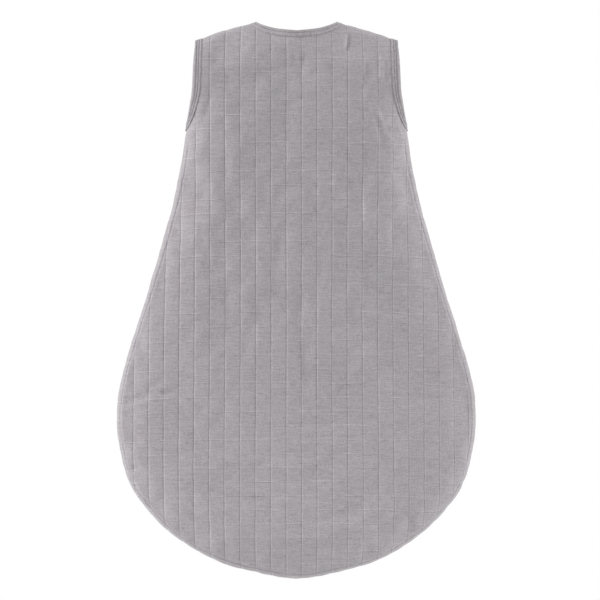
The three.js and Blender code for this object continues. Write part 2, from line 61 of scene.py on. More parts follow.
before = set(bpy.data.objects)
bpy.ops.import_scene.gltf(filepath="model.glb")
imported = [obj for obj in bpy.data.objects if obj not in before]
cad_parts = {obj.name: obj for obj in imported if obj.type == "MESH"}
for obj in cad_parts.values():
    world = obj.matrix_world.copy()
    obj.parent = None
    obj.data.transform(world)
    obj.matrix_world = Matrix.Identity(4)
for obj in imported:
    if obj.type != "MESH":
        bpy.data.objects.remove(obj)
CAD_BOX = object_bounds()
MM = 0.001
SIDES = {"left": -1, "right": 1}
BACK, FRONT = -1, 1

# ---- the bag's curves, right half, seen square on: x and z in millimetres ----
NECK_POINT = (50, 0)
SHOULDER_TIP = (127.7, -24)
SHOULDER_BULGE = (98, -13)
UNDERARM = (138, -128)
SIDE_AND_HEM = (
    UNDERARM, (143, -167), (155, -227), (172, -288), (191, -352), (211, -415), (223.5, -468),
    (224.5, -519), (212, -575), (186, -615), (150, -649), (100, -678), (50, -692.5), (0, -700),
)
ARMHOLE = {
    BACK: (SHOULDER_TIP, (128.8, -48), (130.2, -86), (133.5, -104), UNDERARM),
    FRONT: (SHOULDER_TIP, (130.5, -48), (132.4, -84), (135.2, -104), UNDERARM),
}
BINDING_TOP = (118.7, -21.4)
BINDING_FOOT = (139.3, -137.5)
ARMHOLE_INNER = {
    BACK: (BINDING_TOP, (119.6, -48), (121, -86), (125.5, -107), (132, -125), BINDING_FOOT),
    FRONT: (BINDING_TOP, (121.3, -48), (123.2, -84), (127, -107), (133, -125), BINDING_FOOT),
}
NECK_INNER_POINT = (59, -2.8)
NECK = {
    BACK: ((0, -11.3), (25, -8.6), (42, -3.8), NECK_POINT),
    FRONT: ((6, -48), (24, -44.5), (41, -29), (48.5, -12), NECK_POINT),
}
NECK_INNER = {
    BACK: ((0, -20.6), (28, -17.8), (48, -11), NECK_INNER_POINT),
    FRONT: ((6, -57.4), (28, -53.5), (49, -36), (57.5, -15), NECK_INNER_POINT),
}
# The seams run on past the openings along these points, so that the cloth near an opening rolls smoothly.
PAST_NECK = ((44, 3), (40, 10), (38, 20), (37, 34))
PAST_TIP = ((150, -31), (176, -39))
PAST_UNDERARM = ((163, -92), (150, -100), (142, -110), (138.5, -120))

# ---- depth and layers, in millimetres ----
HALF_DEPTH = 24
EDGE_ROLL = 60
SEAM_GAP = 0.2
SEAM_REACH = 12
LINING_DEPTH = 2.2
ZIP_HALF_SLOT = 6
SLOT_FOOT = -606
SLOT_TAPER = 12
LINING_HALF_SLOT = 17
LINING_SLOT_FOOT = -618
SLOT_STEPS = 190

# ---- the cloth's mesh and relief, in millimetres ----
CLOTH_HALF_WIDTH = 240
CLOTH_FOOT, CLOTH_TOP = -712, 12
OUTLINE_STEP = 2.6
LINING_OUTLINE_STEP = 5
LINING_ROW = 6.0
OUTLINE_CLEARANCE = 0.7
EDGE_LINE_STEP = 3.2
RIB_OFFSET = 6.2
RIB_HALF_WIDTH = 0.75
RIB_COLUMNS = (-1.5, -0.75, 0, 0.75, 1.5, 3.9, 6.6, 9.6, 12.6, 15.35)
CROSS_OFFSET = 10.4
CROSS_HALF_WIDTH = 1.6
CROSS_DIP, CROSS_DIP_HALF_WIDTH = 8, 220
TOPSTITCH_INSET = 11.4
TOPSTITCH_SINK = 0.85
EDGE_INSETS = (3, 6, 8.6, 10.2, 10.9, 11.4, 11.9, 12.6, 14.4, 17)
ZIP_STITCH_INSET = 2.4
ZIP_STITCH_SINK = 0.55
ZIP_STITCH_COLUMNS = (-1.1, -0.5, 0, 0.5, 1.1)
CREASE_DEPTH = 1.7
# Each crease in the back: where it starts and ends, its width and its share of the crease depth.
BACK_CREASES = (
    ((-4, -40), (4, -70), 3.4, 0.5),
    ((11, -40), (6, -68), 3.4, 0.35),
    ((113, -44), (111, -74), 2.4, 0.9),
    ((66, -12), (62, -38), 2.4, 0.8),
    ((104, -106), (116, -140), 2.6, 0.5),
    ((88, -40), (86, -66), 2.0, 0.4),
    ((104, -128), (107, -160), 2.6, 0.45),
    ((-108, -92), (-116, -122), 3.0, 0.4),
    ((96, -112), (101, -136), 2.2, 0.5),
    ((-216, -478), (-150, -462), 3.4, 0.9),
    ((-196, -470), (-168, -448), 4.5, 0.5),
    ((216, -466), (160, -474), 3.4, 0.8),
    ((-60, -472), (40, -486), 5.0, 0.35),
    ((-20, -506), (90, -498), 5.0, 0.35),
    ((-219, -566), (-198, -562), 2.2, 1.0),
    ((219, -562), (204, -566), 2.2, 0.9),
    ((-205, -600), (-188, -603), 2.2, 0.8),
    ((206, -600), (190, -606), 2.2, 0.8),
)

# ---- how the cloth hangs, in millimetres ----
DRAPE_STEP = 8.0
DRAPE_COLUMNS = np.arange(-256, 257, DRAPE_STEP)
DRAPE_ROWS = np.arange(-728, 33, DRAPE_STEP)
DRAPE_CLEARANCE = 2.5
DRAPE_LIMIT = 4.5
DRAPE_FRAMES = 26
ZIP_HELD_HALF = 20

# ---- bindings and stitches, in millimetres ----
BAND_WIDTH = 9.4
BAND_STEP = 0.8
BAND_LAP = 1.6
TUCK = 0.5
BINDING_FACE = -1.0
BINDING_BACK = 3.8
BINDING_MIDDLE = (BINDING_FACE + BINDING_BACK) / 2
ARMHOLE_LENGTH, FRONT_NECK_LENGTH, BACK_NECK_LENGTH = 118, 80, 54
ARMHOLE_STITCH_INSETS = (3.6, 6.5)
NECK_STITCH_INSETS = (3.6, 8.5)
STITCH_SINK = 0.7
STITCH_HALF_WIDTH = 0.75
LONG_STITCH = 3.2
THREAD_PROUD = 0.22
SIDE_STITCHES_TOP = -170

# ---- seam allowances, zip and labels, in millimetres ----
ALLOWANCE_FROM = 4.9
ALLOWANCE_TO = 12
ALLOWANCE_THICKNESS = 1.5
OVERLOCK_STEP = 2.2
HEM_CORNER_Z = -615
ZIP_TOP = -58.2
ZIP_FOOT = -616
TEETH_TOP = -62.9
TEETH_FOOT = -600
TEETH_HALF = 3.1
COIL_PITCH = 2.4
COIL_Y = (23.54, 24.66)
CHAIN_HALF_GAP = 0.8
TAPE_HALF = 16.4
TAPE_Y = (21.9, 22.6)
STOP_Y = (23.2, 25.2)
STOP_HALF = TEETH_HALF + 0.5
SLIDER_Z = -69.8
SLIDER_HALF_LENGTH = 6.5
SLIDER_TOP_HALF = 5.2
SLIDER_FOOT_HALF = 4.2
UPPER_WING = (25.3, 26.7)
LOWER_WING = (20.2, 21.5)
BRIDGE_Y = (29.1, 30.1)
BRIDGE_HALF_WIDTH = 1.4
PIVOT_Y = 28.0
EYE_RADIUS = 0.7
TAB_LENGTH = 34
TAB_HALF_WIDTH = 4
GUARD_PATH = ((20, 17.8), (-23.1, 17.8), (-25.3, 20.2), (-32, 20.2))
GARAGE_HALF_WIDTH = 10
GARAGE_FRONT, GARAGE_BACK = (26.1, -61.4), (19.5, -69.9)
NECK_LABEL_HALF_WIDTH = 12.9
NECK_LABEL_Z = (-41.9, -22.4)
NECK_LABEL_DEPTH = 4.1
CARE_LABEL_X = (-184.4, -143.6)
CARE_LABEL_Z = (-412.8, -385.2)

# ---- studio: the camera and the lights in metres and watts ----
CAMERA_DISTANCE = 6.0
VIEW_WIDTH = 0.7549
CAMERA_X = 0.0044
CAMERA_Z = -0.3497
SENSOR_WIDTH = 36
FLOOR_Z = -0.86
FLOOR_RADIUS = 0.8
BAG_MIDDLE = (0, 0, -0.35)
WORLD_LIGHT = 0.40
LIGHTS = (
    ("key", (-2.8, -0.55, 0.6), (0.9, 2.0), 86),
    ("fill", (2.8, -0.45, 0.3), (0.9, 2.0), 62),
    ("top", (0.2, -2.4, 2.2), (1.6, 1.2), 20),
    ("back", (0.4, 2.6, 1.4), (2.2, 2.0), 45),
)


# ---------------------------------------------------------------- sizes and colours
class BagSizes(bpy.types.PropertyGroup):
    """Sizes of the cloth, its weave and its stitching"""

    rib_pitch: bpy.props.FloatProperty(
        name="Rib pitch", description="Spacing of the vertical lines woven into the muslin",
        default=19.25 * MM, unit="LENGTH")
    cross_pitch: bpy.props.FloatProperty(
        name="Cross pitch", description="Spacing of the faint lines woven across",
        default=17.65 * MM, unit="LENGTH")
    rib_depth: bpy.props.FloatProperty(
        name="Rib depth", description="How far a vertical line sinks into the cloth",
        default=0.42 * MM, unit="LENGTH")
    cross_depth: bpy.props.FloatProperty(
        name="Cross depth", description="How far a line across sinks into the cloth",
        default=0.16 * MM, unit="LENGTH")
    cloth_thickness: bpy.props.FloatProperty(
        name="Cloth thickness", description="Thickness of the outer muslin",
        default=1.2 * MM, unit="LENGTH")
    lining_thickness: bpy.props.FloatProperty(
        name="Lining thickness", description="Thickness of the inner muslin",
        default=0.8 * MM, unit="LENGTH")
    row_height: bpy.props.FloatProperty(
        name="Row height", description="Mesh spacing up and down the outer cloth",
        default=3.2 * MM, unit="LENGTH")
    stitch_pitch: bpy.props.FloatProperty(
        name="Stitch pitch", description="Length of one topstitch with its gap",
        default=2.6 * MM, unit="LENGTH")
    thread_radius: bpy.props.FloatProperty(
        name="Thread radius", description="Radius of the sewing thread",
        default=0.27 * MM, unit="LENGTH")


class BagColours(bpy.types.PropertyGroup):
    """Base colours of the materials"""

    muslin: bpy.props.FloatVectorProperty(
        name="Muslin", description="Colour of the outer cloth",
        subtype="COLOR", size=3, default=(0.405, 0.379, 0.396))
    lining: bpy.props.FloatVectorProperty(
        name="Lining", description="Colour of the inner cloth",
        subtype="COLOR", size=3, default=(0.43, 0.41, 0.42))
    thread: bpy.props.FloatVectorProperty(
        name="Thread", description="Colour of the sewing thread",
        subtype="COLOR", size=3, default=(0.46, 0.435, 0.452))
    tape: bpy.props.FloatVectorProperty(
        name="Zip tape", description="Colour of the zip's tape",
        subtype="COLOR", size=3, default=(0.3, 0.285, 0.295))
    coil: bpy.props.FloatVectorProperty(
        name="Zip coil", description="Colour of the zip's teeth",
        subtype="COLOR", size=3, default=(0.27, 0.255, 0.265))
    metal: bpy.props.FloatVectorProperty(
        name="Metal", description="Colour of the slider and stops",
        subtype="COLOR", size=3, default=(0.55, 0.55, 0.56))
    label: bpy.props.FloatVectorProperty(
        name="Label", description="Colour of the ribbon labels",
        subtype="COLOR", size=3, default=(0.8, 0.79, 0.76))


# ---------------------------------------------------------------- curves
def running_length(line):
    """The length along a polyline up to each of its points."""
    return np.concatenate([[0], np.cumsum(np.linalg.norm(np.diff(line, axis=0), axis=1))])


def even_points(line, steps):
    """Points evenly spaced along a polyline."""
    line = np.asarray(line, float)
    run = running_length(line)
    wanted = np.linspace(0, run[-1], steps + 1)
    return np.stack([np.interp(wanted, run, line[:, k]) for k in range(line.shape[1])], 1)


def spline_points(points, steps):
    """Points evenly spaced along a smooth curve through the given ones."""
    p = np.asarray(points, float)
    before = np.vstack([p[:1], p[:-1]])
    after = np.vstack([p[1:], p[-1:]])
    slope = (after - before) / 2
    t = np.linspace(0, 1, 40, endpoint=False)[:, None]
    spans = []
    for i in range(len(p) - 1):
        a = 2 * p[i] - 2 * p[i + 1] + slope[i] + slope[i + 1]
        b = -3 * p[i] + 3 * p[i + 1] - 2 * slope[i] - slope[i + 1]
        spans.append(a * t**3 + b * t**2 + slope[i] * t + p[i])
    return even_points(np.vstack(spans + [p[-1:]]), steps)


def shoulder_line(steps):
    """The shoulder from the neck to its tip, bulging a little upwards."""
    a, b, c = (np.array(p, float) for p in (NECK_POINT, SHOULDER_BULGE, SHOULDER_TIP))
    t = np.linspace(0, 1, 60)[:, None]
    return even_points((1 - t) ** 2 * a + 2 * t * (1 - t) * b + t**2 * c, steps)


def mirrored(points):
    return np.asarray(points, float) * (-1, 1)


def both_halves(half):
    """A line on the right half that ends at the middle, run on over the left half."""
    return np.vstack([half, mirrored(half)[::-1][1:]])


def make_half_edge():
    """The side and the hem of the right half, from the underarm to the middle of the hem."""
    past_middle = mirrored(SIDE_AND_HEM[-2:-1])
    line = spline_points(np.vstack([SIDE_AND_HEM, past_middle]), 240)
    return np.vstack([line[line[:, 0] > 1], SIDE_AND_HEM[-1:]])


HALF_EDGE = make_half_edge()


def make_seams():
    """The closed seams, run on past the openings: side and hem together, then the two shoulders.

    Each runs with the cloth on its right.
    """
    shoulder = np.vstack([PAST_NECK[::-1], shoulder_line(12), PAST_TIP])
    return [both_halves(np.vstack([PAST_UNDERARM, HALF_EDGE])), shoulder, mirrored(shoulder)[::-1]]


SEAMS = make_seams()
EDGE_SEAM, RIGHT_SHOULDER, LEFT_SHOULDER = SEAMS


def from_line(points, a, b):
    """From the nearest point of a straight line to each point, and how far that is."""
    u = b - a
    t = np.clip(((points - a) @ u) / max(u @ u, 1e-12), 0, 1)
    delta = points - a - t[:, None] * u
    return delta, np.hypot(delta[:, 0], delta[:, 1])


def from_seam(seam, points):
    """Signed distance from a seam, and the direction from it into the cloth, for many points."""
    best = np.full(len(points), np.inf)
    away = np.zeros((len(points), 2))
    for a, b in zip(seam[:-1], seam[1:]):
        delta, distance = from_line(points, a, b)
        inward = np.array([b[1] - a[1], a[0] - b[0]]) / np.hypot(*(b - a))
        outside = ((delta @ inward) < 0.01) & (distance < SEAM_REACH)
        signed = np.where(outside, -distance, distance)
        closer = distance < np.abs(best)
        best = np.where(closer, signed, best)
        straight = delta / np.maximum(distance, 1e-9)[:, None]
        chosen = np.where(outside[:, None], inward, straight)
        away = np.where(closer[:, None], chosen, away)
    return best, away


# The cloth's length round its rolled edge, as a table of angle against arc, from the seam inwards.
ROLL_ANGLE = np.linspace(0, math.pi / 2, 400)
ROLL_SPEED = np.hypot(EDGE_ROLL * np.sin(ROLL_ANGLE), HALF_DEPTH * np.cos(ROLL_ANGLE))
ROLL_ARC = np.concatenate([[0], np.cumsum((ROLL_SPEED[1:] + ROLL_SPEED[:-1]) / 2 * np.diff(ROLL_ANGLE))])
ROLL_SPARE = ROLL_ARC[-1] - EDGE_ROLL


def unroll(points):
    """From the hanging shape seen square on to the flat pattern."""
    points = np.asarray(points, float)
    flat = points.copy()
    for seam in SEAMS:
        distance, away = from_seam(seam, points)
        cosine = 1 - np.clip(distance / EDGE_ROLL, 0, 1)
        arc = np.interp(np.arccos(cosine), ROLL_ANGLE, ROLL_ARC) - ROLL_SPARE
        near = np.clip(distance, 0, EDGE_ROLL)
        flat += away * (arc - near)[:, None]
    return flat


def roll(flat):
    """From the flat pattern to the hanging shape: each point's place, and its roll at each seam.

    A roll is the cosine and sine of how far the cloth has turned, and the direction away from the seam.
    """
    points = flat.copy()
    rolls = []
    for seam in SEAMS:
        distance, away = from_seam(seam, flat)
        angle = np.interp(distance + ROLL_SPARE, ROLL_ARC, ROLL_ANGLE)
        shift = EDGE_ROLL * (1 - np.cos(angle)) - np.clip(distance, -ROLL_SPARE, EDGE_ROLL)
        points += away * shift[:, None]
        rolls.append((np.cos(angle), np.sin(angle), away))
    return points, rolls


def rolls_at(points):
    """The same rolls, for points of the hanging shape seen square on."""
    rolls = []
    for seam in SEAMS:
        distance, away = from_seam(seam, points)
        cosine = 1 - np.clip(distance / EDGE_ROLL, 0, 1)
        rolls.append((cosine, np.sqrt(1 - cosine**2), away))
    return rolls


def lift(points, rolls, side, gap=SEAM_GAP):
    """Points on the cloth's outer face, with the outward normal."""
    least = np.minimum.reduce([sine for _, sine, _ in rolls])
    flat_normal = np.zeros((len(points), 2))
    for i, (cosine, sine, away) in enumerate(rolls):
        slope = HALF_DEPTH * cosine / EDGE_ROLL
        for j, (_, other, _) in enumerate(rolls):
            if j != i:
                slope = slope * other
        slope = slope * np.where(sine > 1e-9, least / np.maximum(sine, 1e-9), 1)
        flat_normal -= slope[:, None] * away
    normal = np.stack([flat_normal[:, 0], side * least, flat_normal[:, 1]], 1)
    normal /= np.linalg.norm(normal, axis=1)[:, None]
    height = gap + HALF_DEPTH * np.prod([sine for _, sine, _ in rolls], axis=0)
    return np.stack([points[:, 0], side * height, points[:, 1]], 1), normal


def cloth_at(points, side, depth, gap=SEAM_GAP):
    """Points of the hanging cloth at a depth below its outer face."""
    points = np.asarray(points, float)
    place, normal = lift(points, rolls_at(points), side, gap)
    return place - normal * np.asarray(depth, float).reshape(-1, 1), normal


# ---------------------------------------------------------------- smooth steps and noise
def ease(value, low, high):
    """From 0 at low to 1 at high, with no corner at either."""
    t = np.clip((value - low) / (high - low), 0, 1)
    return t * t * (3 - 2 * t)


def bump(x, width):
    """A smooth hump of height 1."""
    return np.exp(-((x / width) ** 2))


def soft_noise(x, y, scale, seed):
    """Smooth noise from -1 to 1 with features of about the given size."""
    size = 64
    lattice = np.random.default_rng(seed).uniform(-1, 1, (size, size))
    x = np.asarray(x, float) / scale
    y = np.asarray(y, float) / scale
    i = np.floor(x).astype(int)
    j = np.floor(y).astype(int)
    s = ease(x - i, 0, 1)
    t = ease(y - j, 0, 1)
    i0, i1, j0, j1 = i % size, (i + 1) % size, j % size, (j + 1) % size
    low = lattice[i0, j0] * (1 - s) + lattice[i1, j0] * s
    high = lattice[i0, j1] * (1 - s) + lattice[i1, j1] * s
    return low * (1 - t) + high * t


# ---------------------------------------------------------------- meshes
def new_object(name, points, faces, uv=None):
    """A smooth mesh object from points in millimetres, and the flat place of each where there is one."""
    mesh = bpy.data.meshes.new(name)
    mesh.from_pydata((np.asarray(points) * MM).tolist(), [], faces)
    mesh.validate()
    mesh.update()
    if uv is not None:
        layer = mesh.uv_layers.new(name="flat_cloth")
        corner = np.empty(len(mesh.loops), np.int32)
        mesh.loops.foreach_get("vertex_index", corner)
        layer.data.foreach_set("uv", np.asarray(uv * MM, np.float32)[corner].ravel())
    mesh.polygons.foreach_set("use_smooth", [True] * len(mesh.polygons))
    obj = bpy.data.objects.new(name, mesh)
    bpy.context.scene.collection.objects.link(obj)
    return obj


def outward_object(name, points, faces, uv=None):
    """The same, with its faces turned to point out."""
    obj = new_object(name, points, faces, uv)
    mesh = bmesh.new()
    mesh.from_mesh(obj.data)
    bmesh.ops.recalc_face_normals(mesh, faces=mesh.faces)
    if mesh.calc_volume(signed=True) < 0:
        bmesh.ops.reverse_faces(mesh, faces=mesh.faces)
    mesh.to_mesh(obj.data)
    mesh.free()
    return obj


def joined(parts):
    """Several lists of points and faces as one."""
    points, faces = [], []
    for part_points, part_faces in parts:
        base = len(points)
        points += list(part_points)
        faces += [[k + base for k in face] for face in part_faces]
    return np.array(points), faces


def swept_object(name, rings, across, along, closed=False):
    """A solid from rings of points, capped at both ends unless it closes on itself.

    across and along are each point's flat place, round a ring and from ring to ring.
    """
    grid = np.stack(rings)
    count, width = grid.shape[:2]
    faces = []
    for k in range(count if closed else count - 1):
        n = (k + 1) % count
        for j in range(width):
            m = (j + 1) % width
            faces.append([k * width + j, k * width + m, n * width + m, n * width + j])
    if not closed:
        faces.append(list(range(width)))
        faces.append([(count - 1) * width + j for j in reversed(range(width))])
    uv = np.stack(np.broadcast_arrays(across[None, :], along[:, None]), -1).reshape(-1, 2)
    return outward_object(name, grid.reshape(-1, 3), faces, uv)


def inside_outline(points, outline):
    """Which points lie inside a closed outline."""
    x, y = points[:, 0], points[:, 1]
    result = np.zeros(len(points), bool)
    for a, b in zip(outline, np.roll(outline, -1, axis=0)):
        if a[1] == b[1]:
            continue
        crosses = (a[1] > y) != (b[1] > y)
        at = a[0] + (y - a[1]) * (b[0] - a[0]) / (b[1] - a[1])
        result ^= crosses & (x < at)
    return result


def outline_distance(points, outline):
    """How far each point is from a closed outline."""
    best = np.full(len(points), np.inf)
    for a, b in zip(outline, np.roll(outline, -1, axis=0)):
        best = np.minimum(best, from_line(points, a, b)[1])
    return best


def well_inside(points, outline, margin):
    """Which points lie inside a closed outline by more than a margin."""
    kept = inside_outline(points, outline)
    kept[kept] = outline_distance(points[kept], outline) > margin
    return kept


def cloth_grid(outline, columns, rows, margin, lines=(), keep_clear=None):
    """A flat mesh that fills an outline: squares on the given lines, and triangles out to the outline.

    The outline's points come first, in order, so that a rim can be sewn to them. The triangles follow the
    given lines too, where keep_clear has left room for them.
    """
    def square_at(x, y):
        i = np.clip(np.searchsorted(columns, x) - 1, 0, len(columns) - 2)
        j = np.clip(np.searchsorted(rows, y) - 1, 0, len(rows) - 2)
        return i, j

    gx, gy = np.meshgrid(columns, rows, indexing="ij")
    grid = np.stack([gx.ravel(), gy.ravel()], 1)
    kept = well_inside(grid, outline, margin)
    if keep_clear is not None:
        kept &= keep_clear(grid)
    kept = kept.reshape(gx.shape)
    square = kept[:-1, :-1] & kept[1:, :-1] & kept[:-1, 1:] & kept[1:, 1:]
    for dx in (-margin, margin):
        for dy in (-margin, margin):
            square[square_at(outline[:, 0] + dx, outline[:, 1] + dy)] = False

    # full is the squares with a border of empty ones, so that each grid point has four of them round it
    full = np.pad(square, 1)
    corners = (full[:-1, :-1], full[1:, :-1], full[:-1, 1:], full[1:, 1:])
    used = np.logical_or.reduce(corners)
    number = np.full(kept.shape, -1)
    number[used] = np.arange(used.sum()) + len(outline)
    points = np.vstack([outline, grid[used.ravel()]])
    i, j = np.nonzero(square)
    faces = np.stack([number[i, j], number[i + 1, j], number[i + 1, j + 1], number[i, j + 1]], 1).tolist()

    # the triangles between the squares and the outline
    ring = number[used & ~np.logical_and.reduce(corners)]
    loose = np.concatenate([np.arange(len(outline)), ring])
    place = {int(n): k for k, n in enumerate(loose)}
    edges = [(k, (k + 1) % len(outline)) for k in range(len(outline))]
    for a, b, border in (
        (number[:-1, :], number[1:, :], full[1:-1, :-1] ^ full[1:-1, 1:]),
        (number[:, :-1], number[:, 1:], full[:-1, 1:-1] ^ full[1:, 1:-1]),
    ):
        edges += [(place[int(p)], place[int(q)]) for p, q in zip(a[border], b[border])]
    for line in lines:
        good = well_inside(line, outline, margin)
        numbers = np.full(len(line), -1)
        numbers[good] = np.arange(good.sum()) + len(points)
        shift = len(loose) - len(points)
        points = np.vstack([points, line[good]])
        loose = np.concatenate([loose, numbers[good]])
        edges += [(int(a) + shift, int(b) + shift) for a, b in zip(numbers, numbers[1:]) if min(a, b) >= 0]
    result = geometry.delaunay_2d_cdt([Vector(points[n]) for n in loose], edges, [], 0, 1e-6)
    found, triangles, origins = result[0], result[2], result[3]
    numbers = [int(loose[origin[0]]) if origin else -1 for origin in origins]
    centre = np.array([np.mean([found[k] for k in triangle], axis=0) for triangle in triangles])
    good = inside_outline(centre, outline) & ~square[square_at(centre[:, 0], centre[:, 1])]
    faces += [[numbers[k] for k in triangle] for triangle, keep in zip(triangles, good) if keep]
    return points, faces


def thick_cloth(name, flat, faces, outer, inner, rim_count):
    """A closed sheet: the outer face, the inner face and a rim along the first rim_count points."""
    count = len(flat)
    rim = [[k, (k + 1) % rim_count, (k + 1) % rim_count + count, k + count] for k in range(rim_count)]
    inner_faces = [[k + count for k in face] for face in faces]
    return outward_object(name, np.vstack([outer, inner]), faces + inner_faces + rim, np.vstack([flat, flat]))


# ---------------------------------------------------------------- the cloth's relief
def woven_relief(sizes, u, v, seed):
    """What is woven into the muslin: fine grooves down the cloth, fainter ones across, soft cells between."""
    rib = sizes.rib_pitch / MM
    cross = sizes.cross_pitch / MM
    along = ((u - RIB_OFFSET) / rib + 0.5) % 1 - 0.5
    strength = 0.8 + 0.25 * soft_noise(u, v, 30, seed)
    grooves = -sizes.rib_depth / MM * strength * bump(along * rib, RIB_HALF_WIDTH)
    dip = CROSS_DIP * np.abs(u / CROSS_DIP_HALF_WIDTH) ** 3
    level = v + CROSS_OFFSET + dip + 0.8 * soft_noise(u, v, 55, seed + 1)
    over = (level / cross + 0.5) % 1 - 0.5
    broken = np.clip(0.45 + 0.9 * soft_noise(u / 1.6, v, 14, seed + 2), 0, 1)
    lines = -sizes.cross_depth / MM * broken * bump(over * cross, CROSS_HALF_WIDTH)
    cells = -0.10 * np.cos(2 * math.pi * along) - 0.05 * np.cos(2 * math.pi * over)
    return grooves + lines + cells


def seam_ripple(u, v, inset):
    """Small puckers where the edge seam gathers the cloth; the same on both sides of the seam."""
    fine = soft_noise(u, v, 11, 41) * 0.32 + soft_noise(u, v, 26, 42) * 0.4
    return fine * bump(inset, 16)


def soft_folds(u, v, seed):
    """Slow swells and dents of hanging cloth."""
    slow = soft_noise(u, v, 95, seed) + soft_noise(u * 1.5, v * 0.7, 46, seed + 5) * 0.45
    hang = soft_noise(u * 2.2, v * 0.35, 60, seed + 9) * 0.5
    return slow + hang


def crease(u, v, start, end, width, depth):
    """A crease between two points of the cloth: a dent with a soft ridge beside it."""
    a, b = np.array(start, float), np.array(end, float)
    way = b - a
    length = np.hypot(*way)
    along = ((u - a[0]) * way[0] + (v - a[1]) * way[1]) / length**2
    off = ((u - a[0]) * way[1] - (v - a[1]) * way[0]) / length
    fade = np.clip(np.minimum(along, 1 - along) * 4 + 0.4, 0, 1)
    return depth * fade * (-bump(off, width) + 0.55 * bump(off - 1.9 * width, width))


# ---------------------------------------------------------------- materials
def node_material(name, values):
    """A material with one shader that has the given values."""
    material = bpy.data.materials.new(name)
    material.use_nodes = True
    tree = material.node_tree
    tree.nodes.clear()
    output = tree.nodes.new("ShaderNodeOutputMaterial")
    shader = tree.nodes.new("ShaderNodeBsdfPrincipled")
    for socket, value in values.items():
        shader.inputs[socket].default_value = value
    tree.links.new(shader.outputs[0], output.inputs[0])
    return material, tree, shader


def feed(tree, value, socket):
    """Set a socket to a value, or link it to another node's output."""
    if isinstance(value, bpy.types.NodeSocket):
        tree.links.new(value, socket)
    else:
        socket.default_value = value


def math_node(tree, operation, *inputs):
    node = tree.nodes.new("ShaderNodeMath")
    node.operation = operation
    for socket, value in zip(node.inputs, inputs):
        feed(tree, value, socket)
    return node.outputs[0]


def add(tree, a, b):
    return math_node(tree, "ADD", a, b)


def times(tree, a, b):
    return math_node(tree, "MULTIPLY", a, b)


def minus(tree, a, b):
    return math_node(tree, "SUBTRACT", a, b)


def centred(tree, pattern):
    """A pattern from 0 to 1, moved to lie from -0.5 to 0.5."""
    return minus(tree, pattern, 0.5)


def with_added(tree, tone, *patterns):
    """A tone with each pattern added to it by its own amount."""
    for pattern, amount in patterns:
        tone = add(tree, tone, times(tree, pattern, amount))
    return tone


def share_of(tree, place, pitch):
    """How far a place is through its own repeat, from 0 to 1."""
    return math_node(tree, "FRACT", math_node(tree, "DIVIDE", place, pitch))


def line_mask(tree, place, centre, width):
    """1 on a line at centre, fading out over width."""
    off = math_node(tree, "ABSOLUTE", minus(tree, place, centre))
    return math_node(tree, "MAXIMUM", minus(tree, 1.0, math_node(tree, "DIVIDE", off, width)), 0.0)


def noise_node(tree, vector, scale, detail=2.0, roughness=0.5):
    """Noise of one scale, or stretched when the scale has three parts."""
    if isinstance(scale, tuple):
        node = tree.nodes.new("ShaderNodeMapping")
        node.inputs["Scale"].default_value = scale
        tree.links.new(vector, node.inputs["Vector"])
        vector, scale = node.outputs[0], 1
    node = tree.nodes.new("ShaderNodeTexNoise")
    node.inputs["Scale"].default_value = scale
    node.inputs["Detail"].default_value = detail
    node.inputs["Roughness"].default_value = roughness
    tree.links.new(vector, node.inputs["Vector"])
    return node.outputs["Fac"]


def piece_place(tree):
    """The place on a hard piece or thread."""
    return tree.nodes.new("ShaderNodeTexCoord").outputs["Object"]


def cloth_place(tree):
    """The place on the flat pattern of a cloth piece."""
    node = tree.nodes.new("ShaderNodeUVMap")
    node.uv_map = "flat_cloth"
    return node.outputs[0]


def set_colour(tree, shader, colour, tone):
    """Make the base colour a colour times a tone that changes over the piece."""
    shade = tree.nodes.new("ShaderNodeVectorMath")
    shade.operation = "SCALE"
    feed(tree, colour, shade.inputs[0])
    feed(tree, tone, shade.inputs["Scale"])
    tree.links.new(shade.outputs[0], shader.inputs["Base Color"])


def set_relief(tree, shader, height, strength, distance):
    relief = tree.nodes.new("ShaderNodeBump")
    relief.inputs["Strength"].default_value = strength
    relief.inputs["Distance"].default_value = distance
    tree.links.new(height, relief.inputs["Height"])
    tree.links.new(relief.outputs[0], shader.inputs["Normal"])


def rib_lines(tree, place, u, sizes):
    """Painted shade down one side of each pin groove and a painted highlight down the other, over the woven
    pin line.
    """
    waver = times(tree, centred(tree, noise_node(tree, place, 26)), 0.0012)
    down = add(tree, add(tree, u, waver), sizes.rib_pitch / 2 - RIB_OFFSET * MM)
    rib = share_of(tree, down, sizes.rib_pitch)
    uneven = add(tree, 0.2, times(tree, noise_node(tree, place, (400, 60, 1), 3), 1.6))
    # painted shade along one side of each pin groove, and a painted highlight along the other
    rib_shade_line = times(tree, line_mask(tree, rib, 0.49, 0.040), uneven)
    light = times(tree, line_mask(tree, rib, 0.556, 0.042), uneven)
    return rib_shade_line, light


def cross_lines(tree, place, u, v, sizes):
    """A painted highlight along the top and painted shade along the underside of each broken line across the
    cloth, which dips towards the sides.
    """
    half_width = CROSS_DIP_HALF_WIDTH * MM
    out = math_node(tree, "POWER", math_node(tree, "ABSOLUTE", math_node(tree, "DIVIDE", u, half_width)), 3.0)
    low = add(tree, v, CROSS_OFFSET * MM + sizes.cross_pitch / 2)
    lean = add(tree, low, times(tree, out, CROSS_DIP * MM))
    bend = times(tree, centred(tree, noise_node(tree, place, 17)), 0.006)
    over = share_of(tree, add(tree, lean, bend), sizes.cross_pitch)
    whole = times(tree, minus(tree, noise_node(tree, place, (26, 55, 1), 3), 0.40), 5.0)
    broken = math_node(tree, "MINIMUM", math_node(tree, "MAXIMUM", whole, 0.08), 1.3)
    # a painted highlight on the upper side of each line across, and painted shade on its underside
    across = times(tree, line_mask(tree, over, 0.5, 0.05), broken)
    cross_shade_line = times(tree, line_mask(tree, over, 0.43, 0.05), broken)
    return across, cross_shade_line


